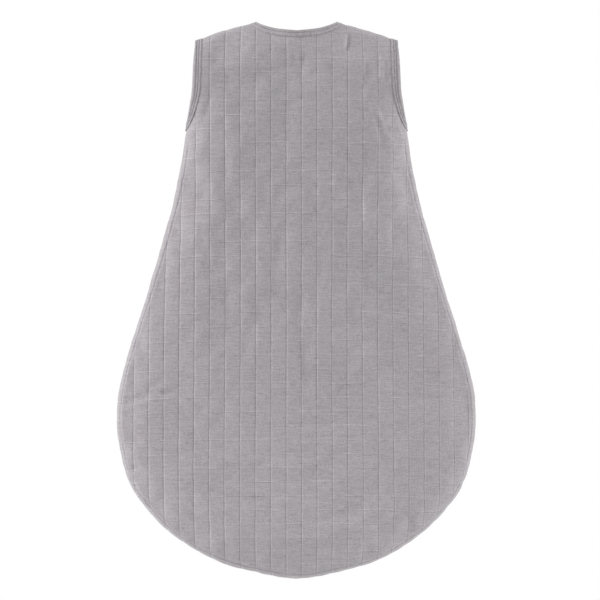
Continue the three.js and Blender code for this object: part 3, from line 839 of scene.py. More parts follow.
def muslin_material(name, colour, sizes, pattern=1.0, stitch_rows=()):
    """Muslin: warm grey yarns with slubs, pin lines down the cloth and faint broken lines across, each line
    with painted shade on one side and a painted highlight on the other, and patches of painted shade standing
    in for creases.

    stitch_rows are the places across a band, in metres, where painted shade marks the needle holes and a
    painted highlight the ridge beside each row.
    """
    material, tree, shader = node_material(name, {
        "Roughness": 0.92, "Specular IOR Level": 0.18, "Sheen Weight": 0.16, "Sheen Roughness": 0.55})
    place = cloth_place(tree)
    split = tree.nodes.new("ShaderNodeSeparateXYZ")
    tree.links.new(place, split.inputs[0])
    u, v = split.outputs[0], split.outputs[1]

    rib_shade_line, light = rib_lines(tree, place, u, sizes)
    across, cross_shade_line = cross_lines(tree, place, u, v, sizes)
    warp = noise_node(tree, place, (760, 100, 1), 3, 0.7)
    weft = noise_node(tree, place, (100, 760, 1), 3, 0.7)
    grain = noise_node(tree, place, 620, 2, 0.7)
    slub = noise_node(tree, place, (28, 260, 1), 3)
    blotch = noise_node(tree, place, 11, 4, 0.6)
    # patches of painted shade standing in for the creases of the hanging cloth
    patch = noise_node(tree, place, (26, 48, 1), 5, 0.75)
    crease_shade_patch = math_node(tree, "MAXIMUM", minus(tree, patch, 0.55), 0.0)

    yarns = ((warp, 0.50), (weft, 0.74), (grain, 0.78), (slub, 0.24), (blotch, 0.20))
    tone = with_added(tree, 1.0, *((centred(tree, yarn), amount) for yarn, amount in yarns))
    if pattern:
        # painted crease shade, and the painted shade and highlight along the pin lines and the lines across
        tone = with_added(tree, tone, (crease_shade_patch, -0.55 * pattern), (rib_shade_line, -0.30 * pattern),
                          (light, 0.22 * pattern), (across, 0.20 * pattern), (cross_shade_line, -0.16 * pattern))
    step = add(tree, math_node(tree, "DIVIDE", v, sizes.stitch_pitch), 0.5)
    for row in stitch_rows:
        # painted shade in the needle holes of each stitch row, and a painted highlight on the ridge beside it
        in_hole = line_mask(tree, math_node(tree, "FRACT", step), 0.5, 0.30)
        hole = times(tree, in_hole, line_mask(tree, u, row, 0.0012))
        ridge = line_mask(tree, u, row + 0.0013, 0.0010)
        tone = with_added(tree, tone, (hole, -0.85), (ridge, 0.10))

    tint = tree.nodes.new("ShaderNodeMix")
    tint.data_type = "RGBA"
    tint.inputs["A"].default_value = (colour[0] * 0.985, colour[1] * 1.012, colour[2] * 0.995, 1)
    tint.inputs["B"].default_value = (colour[0] * 1.012, colour[1] * 0.99, colour[2] * 1.01, 1)
    tree.links.new(noise_node(tree, place, 24, 3), tint.inputs["Factor"])
    set_colour(tree, shader, tint.outputs["Result"], tone)

    height = add(tree, times(tree, warp, 0.5), times(tree, weft, 0.5))
    height = with_added(tree, height, (rib_shade_line, -0.6), (light, 0.3))
    set_relief(tree, shader, height, 0.35, 0.00022)
    return material


def thread_material(name, colour):
    """Twisted sewing thread."""
    material, tree, shader = node_material(name, {"Roughness": 0.6, "Sheen Weight": 0.2})
    twist = noise_node(tree, piece_place(tree), 2200)
    set_colour(tree, shader, colour, with_added(tree, 0.8, (twist, 0.4)))
    return material


def metal_material(name, colour):
    """Satin metal with fine brush marks and worn, brighter patches."""
    material, tree, shader = node_material(name, {"Metallic": 1.0})
    place = piece_place(tree)
    brush = noise_node(tree, place, (2600, 2600, 160), 3)
    wear = noise_node(tree, place, 210, 4, 0.6)
    set_colour(tree, shader, colour, with_added(tree, 0.82, (brush, 0.22), (wear, 0.18)))
    tree.links.new(with_added(tree, 0.24, (brush, 0.2)), shader.inputs["Roughness"])
    return material


def plastic_material(name, colour):
    """Smooth dyed nylon."""
    material, tree, shader = node_material(name, {"Roughness": 0.38})
    cloud = noise_node(tree, piece_place(tree), 700)
    set_colour(tree, shader, colour, with_added(tree, 0.9, (cloud, 0.2)))
    return material


def woven_material(name, colour, warp_scale, weft_scale, roughness):
    """A close, flat weave of smooth yarns."""
    material, tree, shader = node_material(name, {"Roughness": roughness})
    place = cloth_place(tree)
    warp = noise_node(tree, place, warp_scale)
    weft = noise_node(tree, place, weft_scale)
    weave = add(tree, times(tree, warp, 0.5), times(tree, weft, 0.5))
    set_colour(tree, shader, colour, with_added(tree, 0.75, (weave, 0.5)))
    set_relief(tree, shader, weave, 0.4, 0.0002)
    return material


def tape_material(name, colour):
    """Zip tape: a firm weave, ribbed along its length."""
    return woven_material(name, colour, (2600, 90, 1), (500, 1500, 1), 0.8)


def ribbon_material(name, colour):
    """Label ribbon: a fine, slightly shiny weave."""
    return woven_material(name, colour, (300, 4200, 1), (4200, 700, 1), 0.5)


def put_material(obj, material):
    obj.data.materials.clear()
    obj.data.materials.append(material)


def finish_piece(obj, material, body, slot, *nodes):
    """Give a piece its material and the body it moves with, and hide the nodes it stands for; slot is not
    used.
    """
    put_material(obj, material)
    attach(obj, body)
    if nodes:
        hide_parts(*nodes)


# ---------------------------------------------------------------- how the cloth hangs
DRAPE = {}


def from_fold(points, side):
    """Distance from the folded edges of the neck and armhole bindings."""
    distance = np.full(len(points), np.inf)
    for line in (NECK[side], ARMHOLE[side]):
        for flip in SIDES.values():
            curve = spline_points(line, 30) * (flip, 1)
            there_and_back = np.vstack([curve, curve[::-1]])
            distance = np.minimum(distance, outline_distance(points, there_and_back))
    return distance


def free_share(points, side):
    """How free the cloth is to move: none at the seams, bindings and zip, all of it further in."""
    share = ease(from_fold(points, side), BAND_WIDTH + 1, BAND_WIDTH + 24)
    if side == FRONT:
        share = share * ease(np.abs(points[:, 0]), 18, 44)
    inset = np.min([from_seam(seam, points)[0] for seam in SEAMS], axis=0)
    return share * ease(inset, 0, 12)


def settle_panel(side):
    """Let a coarse panel, held round its seams, hang and puff, and keep how far each point moved."""
    outline = unroll(even_outline(whole_outline(side), DRAPE_STEP))
    flat, faces = cloth_grid(outline, DRAPE_COLUMNS, DRAPE_ROWS, DRAPE_CLEARANCE)
    points, rolls = roll(flat)
    start = lift(points, rolls, side)[0]
    obj = new_object("settling_cloth", start, faces if side == BACK else [f[::-1] for f in faces])
    fixed = np.arange(len(flat)) < len(outline)
    if side == FRONT:
        fixed |= np.abs(flat[:, 0]) < ZIP_HELD_HALF
    held = obj.vertex_groups.new(name="held")
    held.add(np.flatnonzero(fixed).tolist(), 1.0, "REPLACE")
    cloth = obj.modifiers.new("settle", "CLOTH")
    settings = cloth.settings
    settings.quality = 6
    settings.mass = 0.0006
    settings.tension_stiffness = 6
    settings.compression_stiffness = 6
    settings.shear_stiffness = 3
    settings.bending_stiffness = 0.02
    settings.air_damping = 3
    settings.vertex_group_mass = held.name
    settings.shrink_min = -0.014
    settings.use_pressure = True
    settings.uniform_pressure_force = 0.02
    cloth.point_cache.frame_start = 1
    cloth.point_cache.frame_end = DRAPE_FRAMES
    scene = bpy.context.scene
    for moment in range(1, DRAPE_FRAMES + 1):
        scene.frame_set(moment)
    settled = obj.evaluated_get(bpy.context.evaluated_depsgraph_get())
    there = np.empty(len(flat) * 3)
    settled.data.vertices.foreach_get("co", there)
    scene.frame_set(1)
    bpy.data.objects.remove(obj, do_unlink=True)
    moved = there.reshape(-1, 3) / MM - start
    size = np.linalg.norm(moved, axis=1)
    moved *= (DRAPE_LIMIT * np.tanh(size / DRAPE_LIMIT) / np.maximum(size, 1e-9))[:, None]
    table = np.zeros((len(DRAPE_COLUMNS), len(DRAPE_ROWS), 3))
    place = np.rint((flat - (DRAPE_COLUMNS[0], DRAPE_ROWS[0])) / DRAPE_STEP).astype(int)[len(outline):]
    table[place[:, 0], place[:, 1]] = moved[len(outline):]
    return table


def drape(flat, points, side):
    """How far the hanging cloth has moved at each flat point, from a smooth curve through the table."""
    if side not in DRAPE:
        return np.zeros((len(flat), 3))
    x = (flat[:, 0] - DRAPE_COLUMNS[0]) / DRAPE_STEP
    y = (flat[:, 1] - DRAPE_ROWS[0]) / DRAPE_STEP
    i, j = np.floor(x).astype(int), np.floor(y).astype(int)

    def weights(t):
        before, after = (3 * t**3 - 6 * t**2 + 4) / 6, (-3 * t**3 + 3 * t**2 + 3 * t + 1) / 6
        return (1 - t) ** 3 / 6, before, after, t**3 / 6

    total = np.zeros((len(flat), 3))
    for a, weight_x in enumerate(weights(x - i)):
        for b, weight_y in enumerate(weights(y - j)):
            total += DRAPE[side][i + a - 1, j + b - 1] * (weight_x * weight_y)[:, None]
    return total * free_share(points, side)[:, None]


# ---------------------------------------------------------------- panels
def rib_columns(sizes):
    """Mesh lines across the cloth, close together at each rib so that its groove is sharp."""
    rib = sizes.rib_pitch / MM
    ribs = math.ceil(CLOTH_HALF_WIDTH / rib) + 1
    columns = [k * rib + RIB_OFFSET + o for k in range(-ribs, ribs) for o in RIB_COLUMNS]
    stitches = ZIP_HALF_SLOT + ZIP_STITCH_INSET
    beside = [way * (stitches + o) for way in SIDES.values() for o in ZIP_STITCH_COLUMNS]
    return np.array(sorted(c for c in columns + beside if abs(c) < CLOTH_HALF_WIDTH))


def panel_outline(side, half_slot, slot_foot):
    """The outline of a panel seen square on, right half, from the centre of the neck round to the hem.

    The cloth runs inside the bindings to just short of their folded edge. With a half_slot, the panel is one
    side of a front that has a slot for the zip.
    """
    def inside_band(fold, inner, steps):
        fold, inner = spline_points(fold, steps), spline_points(inner, steps)
        return fold + (inner - fold) * (BAND_LAP / BAND_WIDTH)

    neck = inside_band(NECK[side], NECK_INNER[side], 26)
    arm = inside_band(ARMHOLE[side], ARMHOLE_INNER[side], 48)
    shoulder = shoulder_line(40)
    shoulder = shoulder[(shoulder[:, 0] > neck[-1, 0] + 1) & (shoulder[:, 0] < arm[0, 0] - 1)]
    edge = HALF_EDGE[HALF_EDGE[:, 1] < arm[-1, 1] - 1.5]
    if half_slot is None:
        return np.vstack([neck, shoulder, arm, edge])
    neck = neck[neck[:, 0] > half_slot + 0.8]
    edge = edge[edge[:, 0] > 1.5]
    top = (half_slot, neck[0, 1] - 0.3)
    hem, narrow, wide = (SEAM_GAP, -700), (SEAM_GAP, slot_foot - SLOT_TAPER), (half_slot, slot_foot)
    below = even_points([hem, narrow], 30)
    slant = even_points([narrow, wide], 5)[1:]
    up = even_points([wide, top], SLOT_STEPS)[1:-1]
    return np.vstack([[top], neck, shoulder, arm, edge, below, slant, up])


def whole_outline(side, wearer_side=0, half_slot=None, slot_foot=None):
    """The outline of a whole panel, or of the wearer's left or right half of a front with a slot."""
    half = panel_outline(side, half_slot, slot_foot)
    if half_slot is None:
        starts_at_middle = abs(half[0, 0]) < 0.01
        return both_halves(half)[: -1 if starts_at_middle else None]
    return half if wearer_side > 0 else mirrored(half)[::-1]


def even_outline(outline, spacing):
    closed = np.vstack([outline, outline[:1]])
    return even_points(closed, round(running_length(closed)[-1] / spacing))[:-1]


def flat_area(outline):
    """The area inside a closed outline, in square metres."""
    x, y = outline[:, 0], outline[:, 1]
    return abs(np.dot(x, np.roll(y, -1)) - np.dot(y, np.roll(x, -1))) / 2 * MM * MM


def edge_lines(insets):
    """Lines that follow the side and hem seam at given distances in from it, on the flat pattern."""
    half = even_points(HALF_EDGE[:-2], round(running_length(HALF_EDGE)[-1] / EDGE_LINE_STEP))
    away = from_seam(EDGE_SEAM, half)[1]
    lines = []
    for inset in insets:
        right = half + away * (inset - ROLL_SPARE)
        lines += [right, mirrored(right)]
    return lines


def make_panel(name, side, outline, columns, rows, depth, thickness, relief, insets=()):
    """Cut a panel flat, roll it into its hanging shape and give it its relief.

    insets are the distances from the side seam at which the mesh follows the seam.
    """
    flat_outline = unroll(outline)
    clear = None
    if insets:
        seam = even_points(EDGE_SEAM, 200)

        def clear(points):
            return from_seam(seam, points)[0] + ROLL_SPARE > insets[-1] + 1.6

    lines = edge_lines(insets)
    flat, faces = cloth_grid(flat_outline, columns, rows, OUTLINE_CLEARANCE, lines, clear)
    points, rolls = roll(flat)
    place, normal = lift(points, rolls, side)
    inset = from_seam(EDGE_SEAM, flat)[0] + ROLL_SPARE
    woven, soft = relief(flat[:, 0], flat[:, 1], inset)
    fold = from_fold(points, side)
    tucked = 1 - ease(fold, BAND_WIDTH - 1.4, BAND_WIDTH + 0.9)
    height = woven * (1 - tucked) + soft * ease(fold, BAND_WIDTH, BAND_WIDTH + 13) - TUCK * tucked
    outer = place + normal * (height - depth)[:, None] + drape(flat, points, side)
    obj = thick_cloth(name, flat, faces, outer, outer - normal * thickness, len(flat_outline))
    width, height = np.ptp(flat_outline, axis=0) * MM
    float(flat_area(flat_outline))
    return obj


def outer_relief(sizes, side):
    """The relief of the outer muslin: what is woven in, and the softer folds, puckers and creases."""
    def relief(u, v, inset):
        woven = woven_relief(sizes, u, v, 11 if side == BACK else 61)
        soft = soft_folds(u, v, 21 if side == BACK else 71) * (1 - bump(inset, 9))
        soft = soft + seam_ripple(u, v, inset)
        channel = bump(inset - TOPSTITCH_INSET, STITCH_HALF_WIDTH) * ease(-v, 140, 165)
        soft = soft - TOPSTITCH_SINK * channel
        if side == BACK:
            for start, end, width, share in BACK_CREASES:
                soft = soft + crease(u, v, start, end, width, CREASE_DEPTH * share)
        else:
            beside = np.abs(u) - ZIP_HALF_SLOT
            soft = soft * ease(beside, 4, 24)
            woven = woven * ease(beside, 2, 5) - ZIP_STITCH_SINK * bump(beside - ZIP_STITCH_INSET, 0.6)
        return woven, soft

    return relief


def lining_relief(sizes):
    def relief(u, v, inset):
        return 0.5 * woven_relief(sizes, u, v, 31) - 0.25, 0.2 * soft_noise(u, v, 40, 33)

    return relief


def layer_cuts(cloth, node, half_slot, slot_foot, spacing):
    """The name, node, side and outline of the back and of the two fronts of one layer of cloth."""
    yield f"back_{cloth}", f"back_{node}", BACK, even_outline(whole_outline(BACK), spacing)
    for name, wearer_side in SIDES.items():
        outline = whole_outline(FRONT, wearer_side, half_slot, slot_foot)
        yield f"front_{cloth}_{name}", f"front_{node}_{name}", FRONT, even_outline(outline, spacing)


# ---------------------------------------------------------------- bindings
def binding_section():
    """Round the band: share of the way from its inner edge to its fold, and depth below the cloth's face."""
    face, back = BINDING_FACE, BINDING_BACK
    half = (back - face) / 2
    section = [(0.0, BINDING_MIDDLE), (0.0, -0.1), (0.012, -0.55), (0.04, -0.85)]
    section += [(s, face) for s in np.linspace(0.08, 0.86, 19)]
    for angle in np.linspace(90, -90, 13):
        radian = math.radians(angle)
        section.append((0.87 + 0.13 * math.cos(radian), BINDING_MIDDLE - half * math.sin(radian)))
    section += [(s, back) for s in np.linspace(0.8, 0.1, 8)]
    section += [(0.04, back - 0.15), (0.012, back - 0.4), (0.0, back - 0.8)]
    return np.array(section)


def stitch_shares(insets):
    """Stitch rows, given as distances in from the fold, as shares of the band's width."""
    return [1 - inset / BAND_WIDTH for inset in insets]


def band_path(kind, wearer_side):
    """The band's fold, its inner edge and the side of the bag that each point is on, round the opening."""
    fold_curve, inner_curve = (ARMHOLE, ARMHOLE_INNER) if kind == "armhole" else (NECK, NECK_INNER)

    def joined_curves(curves, first, second, steps):
        there, back = spline_points(curves[first], steps[0]), spline_points(curves[second], steps[1])
        return np.vstack([there, back[::-1][1:]])

    if kind == "armhole":
        steps = [round(ARMHOLE_LENGTH / BAND_STEP)] * 2
        fold, inner = (joined_curves(c, BACK, FRONT, steps)[:-1] for c in (fold_curve, inner_curve))
        side = np.repeat([BACK, FRONT], [steps[0] + 1, steps[1] - 1])
        return fold * (wearer_side, 1), inner * (wearer_side, 1), side
    steps = [round(FRONT_NECK_LENGTH / BAND_STEP), round(BACK_NECK_LENGTH / BAND_STEP)]
    fold, inner = (both_halves(joined_curves(c, FRONT, BACK, steps)) for c in (fold_curve, inner_curve))
    side = np.repeat([FRONT, BACK], [steps[0] + 1, steps[1]])
    return fold, inner, np.concatenate([side, side[::-1][1:]])


def band_points(fold, inner, side, share, depth):
    """Points of the band at one share of its width, all along it, with the outward normals."""
    flat = inner + (fold - inner) * share
    depth = np.broadcast_to(depth, len(flat))
    result = np.zeros((len(flat), 3))
    normals = np.zeros((len(flat), 3))
    for s in (BACK, FRONT):
        here = side == s
        result[here], normals[here] = cloth_at(flat[here], s, depth[here], 0)
    return result, normals


def make_band(name, kind, wearer_side, rows, sizes):
    """A folded binding: pressed in along its stitch rows, a little gathered between stitches.

    It also gives the places of the stitch rows across the flat band, in metres.
    """
    fold, inner, side = band_path(kind, wearer_side)
    run = running_length(band_points(fold, inner, side, 0.5, 0)[0])
    section = binding_section()
    rings = []
    gather = 0.2 * np.sin(2 * math.pi * run / (sizes.stitch_pitch / MM))
    slow = 0.16 * soft_noise(run, run * 0, 9, 51) + 0.14 * soft_noise(run, run * 0, 31, 52)
    for share, depth in section:
        outward = -1 if depth < BINDING_MIDDLE else 1
        pressed = sum(bump((share - row) * BAND_WIDTH, STITCH_HALF_WIDTH) for row in rows)
        near = sum(bump((share - row) * BAND_WIDTH, 2.2) for row in rows)
        swell = gather * near + slow * (1 - pressed) if share > 0.02 else 0
        depths = depth + outward * (swell - STITCH_SINK * pressed)
        rings.append(band_points(fold, inner, side, share, depths)[0])
    grid = np.stack(rings, 1)
    across = running_length(grid[0])
    obj = swept_object(name, grid, across, run, closed=kind == "armhole")
    top = np.abs(section[:, 1] - BINDING_FACE) < 0.01
    return obj, [float(place * MM) for place in np.interp(rows, section[top, 0], across[top])]


# ---------------------------------------------------------------- stitches
def thread_piece(spine, beside, normals, radii, sides):
    """A short piece of thread with closed ends, as a ring of points round each point of its spine."""
    points, faces = [], []
    for centre, sideways, up, radius in zip(spine, beside, normals, radii):
        for s in range(sides):
            turn = 2 * math.pi * s / sides
            points.append(centre + radius * (math.cos(turn) * sideways + math.sin(turn) * up))
    for r in range(len(spine) - 1):
        for s in range(sides):
            m = (s + 1) % sides
            a, b = r * sides, (r + 1) * sides
            faces.append([a + s, a + m, b + m, b + s])
    faces.append(list(reversed(range(sides))))
    faces.append([len(points) - sides + s for s in range(sides)])
    return points, faces


def unit(vectors):
    return vectors / np.linalg.norm(vectors, axis=-1, keepdims=True)


def stitch_row(line, normals, pitch, sizes):
    """One row of topstitching: a short arched thread for each stitch, its ends sunk into the cloth."""
    rings = 5
    radius = sizes.thread_radius / MM
    run = running_length(line)
    arch = np.sin(np.linspace(0, math.pi, rings))
    height = THREAD_PROUD - 1.5 * radius + 1.7 * radius * arch
    made = []
    for k in range(max(1, int(run[-1] / pitch))):
        at = (k + 0.5 + np.linspace(-0.37, 0.37, rings)) * pitch
        spine = np.stack([np.interp(at, run, line[:, c]) for c in range(3)], 1)
        normal = unit(np.stack([np.interp(at, run, normals[:, c]) for c in range(3)], 1))
        spine = spine + normal * height[:, None]
        beside = unit(np.cross(unit(spine[-1] - spine[0]), normal))
        made.append(thread_piece(spine, beside, normal, radius * (0.75 + 0.25 * arch), 5))
    return made


def seam_stitches(name, sizes):
    """Topstitching beside the side and hem seams, on the back and on the front."""
    made = []
    below_underarm = HALF_EDGE[HALF_EDGE[:, 1] < SIDE_STITCHES_TOP]
    half = even_points(below_underarm, round(running_length(HALF_EDGE)[-1] / 2))
    for side in (BACK, FRONT):
        for wearer_side in SIDES.values():
            edge = half * (wearer_side, 1)
            away = from_seam(EDGE_SEAM, edge)[1]
            flat = edge + away * (TOPSTITCH_INSET - ROLL_SPARE)
            points, rolls = roll(flat)
            keep = (np.abs(points[:, 0]) > 2) & (np.abs(flat[:, 0]) > 2)
            place, normal = lift(points[keep], [tuple(part[keep] for part in r) for r in rolls], side)
            place = place + normal * (-TOPSTITCH_SINK + 0.1) + drape(flat[keep], points[keep], side)
            made += stitch_row(place, normal, LONG_STITCH, sizes)
    return outward_object(name, *joined(made))


def zip_stitches(name, sizes):
    """Topstitching down each front beside the zip."""
    made = []
    z = np.linspace(ZIP_TOP - 3, SLOT_FOOT, 300)
    for wearer_side in SIDES.values():
        flat = np.column_stack([np.full(len(z), wearer_side * (ZIP_HALF_SLOT + ZIP_STITCH_INSET)), z])
        place, normal = cloth_at(flat, FRONT, ZIP_STITCH_SINK - 0.1)
        made += stitch_row(place, normal, LONG_STITCH, sizes)
    return outward_object(name, *joined(made))


def band_stitches(name, kind, wearer_side, rows, sizes):
    """Topstitching along a binding, on its outer face and on its inner face."""
    path = band_path(kind, wearer_side)
    made = []
    for share in rows:
        for depth, outward in ((BINDING_FACE + STITCH_SINK, 1), (BINDING_BACK - STITCH_SINK, -1)):
            line, normal = band_points(*path, share, depth)
            if kind == "armhole":
                line, normal = (np.vstack([part, part[:1]]) for part in (line, normal))
            made += stitch_row(line, normal * outward, sizes.stitch_pitch / MM, sizes)
    return outward_object(name, *joined(made))


# ---------------------------------------------------------------- sewn strips, tape and labels
def still(across, station):
    return np.zeros(len(across))


def swept_strip(name, path, thickness, stations, place, wave=still):
    """A strip of cloth with rounded edges: a path across it in two dimensions, carried along its stations.

    place turns a section at a station into points, and wave is how far the cloth has waved out of its path.
    It also gives the strip's width along the path, in metres.
    """
    path = np.asarray(path, float)
    way = unit(np.gradient(path, axis=0))
    off = np.stack([-way[:, 1], way[:, 0]], 1)
    edge = thickness * 0.2
    start, finish = path[:1] - way[:1] * edge, path[-1:] + way[-1:] * edge
    half = off * thickness / 2
    section = np.vstack([start, path + half, finish, (path - half)[::-1]])
    turned = np.vstack([off[:1], off, off[-1:], off[::-1]])
    run = running_length(path)
    rings = []
    for station in stations:
        shift = wave(run, station)
        bend = np.concatenate([shift[:1], shift, shift[-1:], shift[::-1]])
        rings.append(place(section + turned * bend[:, None], station))
    across = np.concatenate([[0], run, run[-1:], run[::-1]])
    return swept_object(name, rings, across, np.asarray(stations, float)), float(run[-1] * MM)


def up_the_bag(section, z):
    return np.column_stack([section[:, 0], section[:, 1], np.full(len(section), z)])


def make_tape(name, wearer_side):
    """Woven zip tape with a thicker cord along the edge that carries the coil."""
    low, high = TAPE_Y
    inner, outer = CHAIN_HALF_GAP, TAPE_HALF
    face = [(inner, high - 0.15), (1.1, high), (3.9, high), (4.2, high - 0.1), (9, high - 0.1),
            (outer - 0.2, high - 0.1)]
    back = [(outer, (low + high) / 2), (outer - 0.2, low + 0.1), (4.2, low + 0.1), (3.9, low), (1.1, low),
            (inner, low + 0.15)]
    section = np.array(face + back) * (wearer_side, 1)
    across = np.abs(section[:, 0])
    stations = np.linspace(ZIP_FOOT, ZIP_TOP, 140)
    rings = []
    for z in stations:
        bend = 0.12 * soft_noise(across, across * 0 + z, 17, 81) * np.clip((across - 5) / 8, 0, 1)
        rings.append(up_the_bag(section + np.stack([bend * 0, bend], 1), z))
    obj = swept_object(name, rings, across, stations)
    return obj


def seam_line(kind, wearer_side):
    """The sewn line that an allowance stands in from."""
    if kind == "side":
        line = HALF_EDGE[(HALF_EDGE[:, 1] < BINDING_FOOT[1] - 6) & (HALF_EDGE[:, 1] > HEM_CORNER_Z + 2)]
    elif kind == "hem":
        line = both_halves(HALF_EDGE[HALF_EDGE[:, 1] < HEM_CORNER_Z - 4])
    else:
        line = shoulder_line(60)
        line = line[(line[:, 0] > NECK_INNER_POINT[0] + 3) & (line[:, 0] < BINDING_TOP[0] - 3)]
    return even_points(line, round(running_length(line)[-1] / OVERLOCK_STEP)) * (wearer_side, 1)


def make_allowance(name, kind, wearer_side):
    """Two trimmed layers of cloth, overlocked together along their raw edge."""
    line = seam_line(kind, wearer_side)
    if kind == "shoulder":
        seam = RIGHT_SHOULDER if wearer_side > 0 else LEFT_SHOULDER
    else:
        seam = EDGE_SEAM
    away = from_seam(seam, line)[1]
    length = running_length(line)[-1]
    run = np.linspace(0, length, len(line))
    path = np.stack([np.linspace(ALLOWANCE_FROM, ALLOWANCE_TO, 7), np.zeros(7)], 1)

    def place(section, station):
        k = round(station / length * (len(line) - 1))
        trim = 0.35 * soft_noise(station, 0, 7, 91)
        reach = section[:, 0] + trim * (section[:, 0] > 8)
        flat = line[k] + reach[:, None] * away[k]
        return np.column_stack([flat[:, 0], section[:, 1], flat[:, 1]])

    def wave(across, station):
        return allowance_wave(station, across) * (across / across[-1]) ** 2

    strip, _ = swept_strip(name, path, ALLOWANCE_THICKNESS, run, place, wave)
    raw_edge = line + away * (ALLOWANCE_TO - 0.5)
    loops = [overlock_loop(*at) for at in zip(raw_edge, away, run)]
    return strip, outward_object(name + "_overlock", *joined(loops))


def allowance_wave(station, across):
    """How far an allowance, and the thread on its edge, waves to the front or back."""
    return 0.5 * soft_noise(across * 0 + station, across, 13, 92)


def overlock_loop(centre, away, station):
    """One loop of overlocking thread round the raw edge, leaning along the seam."""
    reach, lean, half_height, radius = 3.34, 0.9, 0.95, 0.2
    angle = np.linspace(-math.pi / 2, math.pi / 2, 7)
    out, up = np.cos(angle)[:, None], np.sin(angle)[:, None]
    along = np.array([-away[1], away[0]])
    flat = centre + away * (1 + (out - 1) * reach) + along * lean * up
    level = up[:, 0] * half_height + allowance_wave(station, 1)
    spine = np.column_stack([flat[:, 0], level, flat[:, 1]])
    beside = np.tile((along[0], 0, along[1]), (len(angle), 1))
    normal = unit(np.column_stack([away[0] * out, up, away[1] * out]))
    return thread_piece(spine, beside, normal, np.full(len(angle), radius), 4)


def make_guard():
    """The strip behind the zip, stepped where it is sewn to the lining."""
    def wave(across, station):
        free = np.clip((28 - across) / 20, 0, 1)
        return 0.4 * soft_noise(across * 0 + station, across, 60, 85) * free

    path = even_points(GUARD_PATH, 44)
    stations = np.linspace(ZIP_FOOT, ZIP_TOP, 160)
    obj, wide = swept_strip("zip_guard_strip", path, 1.1, stations, up_the_bag, wave)
    return obj


def make_garage():
    """A tab of cloth folded over the neck binding, so that the slider parks beneath it."""
    middle, top, half, rise = 22.8, -47.3, 3.3, 0.9
    fold = [(middle + half * math.cos(a), top + rise * math.sin(a)) for a in np.linspace(0, math.pi, 15)]
    path = even_points([GARAGE_FRONT, *fold, GARAGE_BACK], 60)

    def place(section, x):
        return np.column_stack([np.full(len(section), x), section])

    def wave(across, station):
        return 0.14 * soft_noise(across, across * 0 + station, 6, 87)

    stations = np.linspace(-GARAGE_HALF_WIDTH, GARAGE_HALF_WIDTH, 22)
    obj, wide = swept_strip("zip_garage_tab", path, 0.9, stations, place, wave)
    return obj


def make_neck_label():
    """A blank ribbon label, sewn flat inside the back of the neck."""
    def place(section, z):
        flat = np.column_stack([section[:, 0], np.full(len(section), z)])
        points, normal = cloth_at(flat, BACK, NECK_LABEL_DEPTH)
        return points + normal * section[:, 1][:, None] + drape(unroll(flat), flat, BACK)

    def wave(across, station):
        return 0.12 * soft_noise(across, across * 0 + station, 8, 88)

    path = even_points([(-NECK_LABEL_HALF_WIDTH, 0), (NECK_LABEL_HALF_WIDTH, 0)], 26)
    obj, wide = swept_strip("neck_ribbon_label", path, 0.7, np.linspace(*NECK_LABEL_Z, 20), place, wave)
    return obj


def make_care_label():
    """A blank ribbon label folded double and caught in the side seam."""
    sewn, fold = CARE_LABEL_X
    bend = [(fold + 0.45 * math.cos(a), 0.3 * math.sin(a)) for a in np.linspace(-math.pi / 2, math.pi / 2, 7)]
    path = even_points([(sewn, -0.3), *bend, (sewn, 0.3)], 70)

    def place(section, z):
        reach = np.clip((section[:, 0] + 184) / 40, 0, 1)
        sway = 1.6 * reach**2 * math.sin((z + 400) / 14)
        shift = np.interp(z, HALF_EDGE[::-1, 1], HALF_EDGE[::-1, 0]) - 206
        return np.column_stack([section[:, 0] - shift * 0.5, section[:, 1] + sway, np.full(len(section), z)])

    obj, wide = swept_strip("care_ribbon_label", path, 0.22, np.linspace(*CARE_LABEL_Z, 24), place)
    return obj


# ---------------------------------------------------------------- hard pieces
def make_active(obj, *others):
    """Select a piece, with any others, and make it the active one."""
    bpy.ops.object.select_all(action="DESELECT")
    for each in (*others, obj):
        each.select_set(True)
    bpy.context.view_layer.objects.active = obj


def settle_transform():
    """Put a new piece's place, turn and scale into its mesh."""
    bpy.ops.object.transform_apply(location=True, rotation=True, scale=True)
    return bpy.context.object


def start_box(name, low, high):
    """A cube made at its finished size and place, in millimetres."""
    bpy.ops.object.select_all(action="DESELECT")
    low, high = np.array(low, float) * MM, np.array(high, float) * MM
    bpy.ops.mesh.primitive_cube_add(size=1, location=tuple((low + high) / 2), scale=tuple(high - low))
    obj = settle_transform()
    obj.name = name
    return obj


def pick(obj, kind, test):
    """Select the edges or faces whose middle and direction pass a test, in millimetres."""
    mesh = obj.data
    for group in (mesh.vertices, mesh.edges, mesh.polygons):
        group.foreach_set("select", [False] * len(group))
    if kind == "EDGE":
        for edge in mesh.edges:
            a, b = (mesh.vertices[k].co / MM for k in edge.vertices)
            edge.select = bool(test((a + b) / 2, (b - a).normalized()))
    else:
        for polygon in mesh.polygons:
            polygon.select = bool(test(polygon.center / MM, polygon.normal))


def shape(obj, kind, test, operation, **options):
    """Run one edit-mode tool on the picked edges or faces of a piece."""
    make_active(obj)
    bpy.ops.object.mode_set(mode="EDIT")
    bpy.ops.mesh.select_mode(type=kind)
    bpy.ops.object.mode_set(mode="OBJECT")
    pick(obj, kind, test)
    bpy.ops.object.mode_set(mode="EDIT")
    operation(**options)
    bpy.ops.object.mode_set(mode="OBJECT")


def push_out(obj, test, move):
    """Extrude the picked faces by a distance in millimetres."""
    shape(obj, "FACE", test, bpy.ops.mesh.extrude_region_move,
          TRANSFORM_OT_translate={"value": tuple(m * MM for m in move)})


def round_corners(obj, axis, test, width, segments):
    """Bevel the edges that run along an axis and pass a test."""
    shape(obj, "EDGE", lambda m, d: abs(d[axis]) > 0.9 and test(m), bpy.ops.mesh.bevel,
          offset=width * MM, segments=segments, affect="EDGES")


def anywhere(middle):
    return True


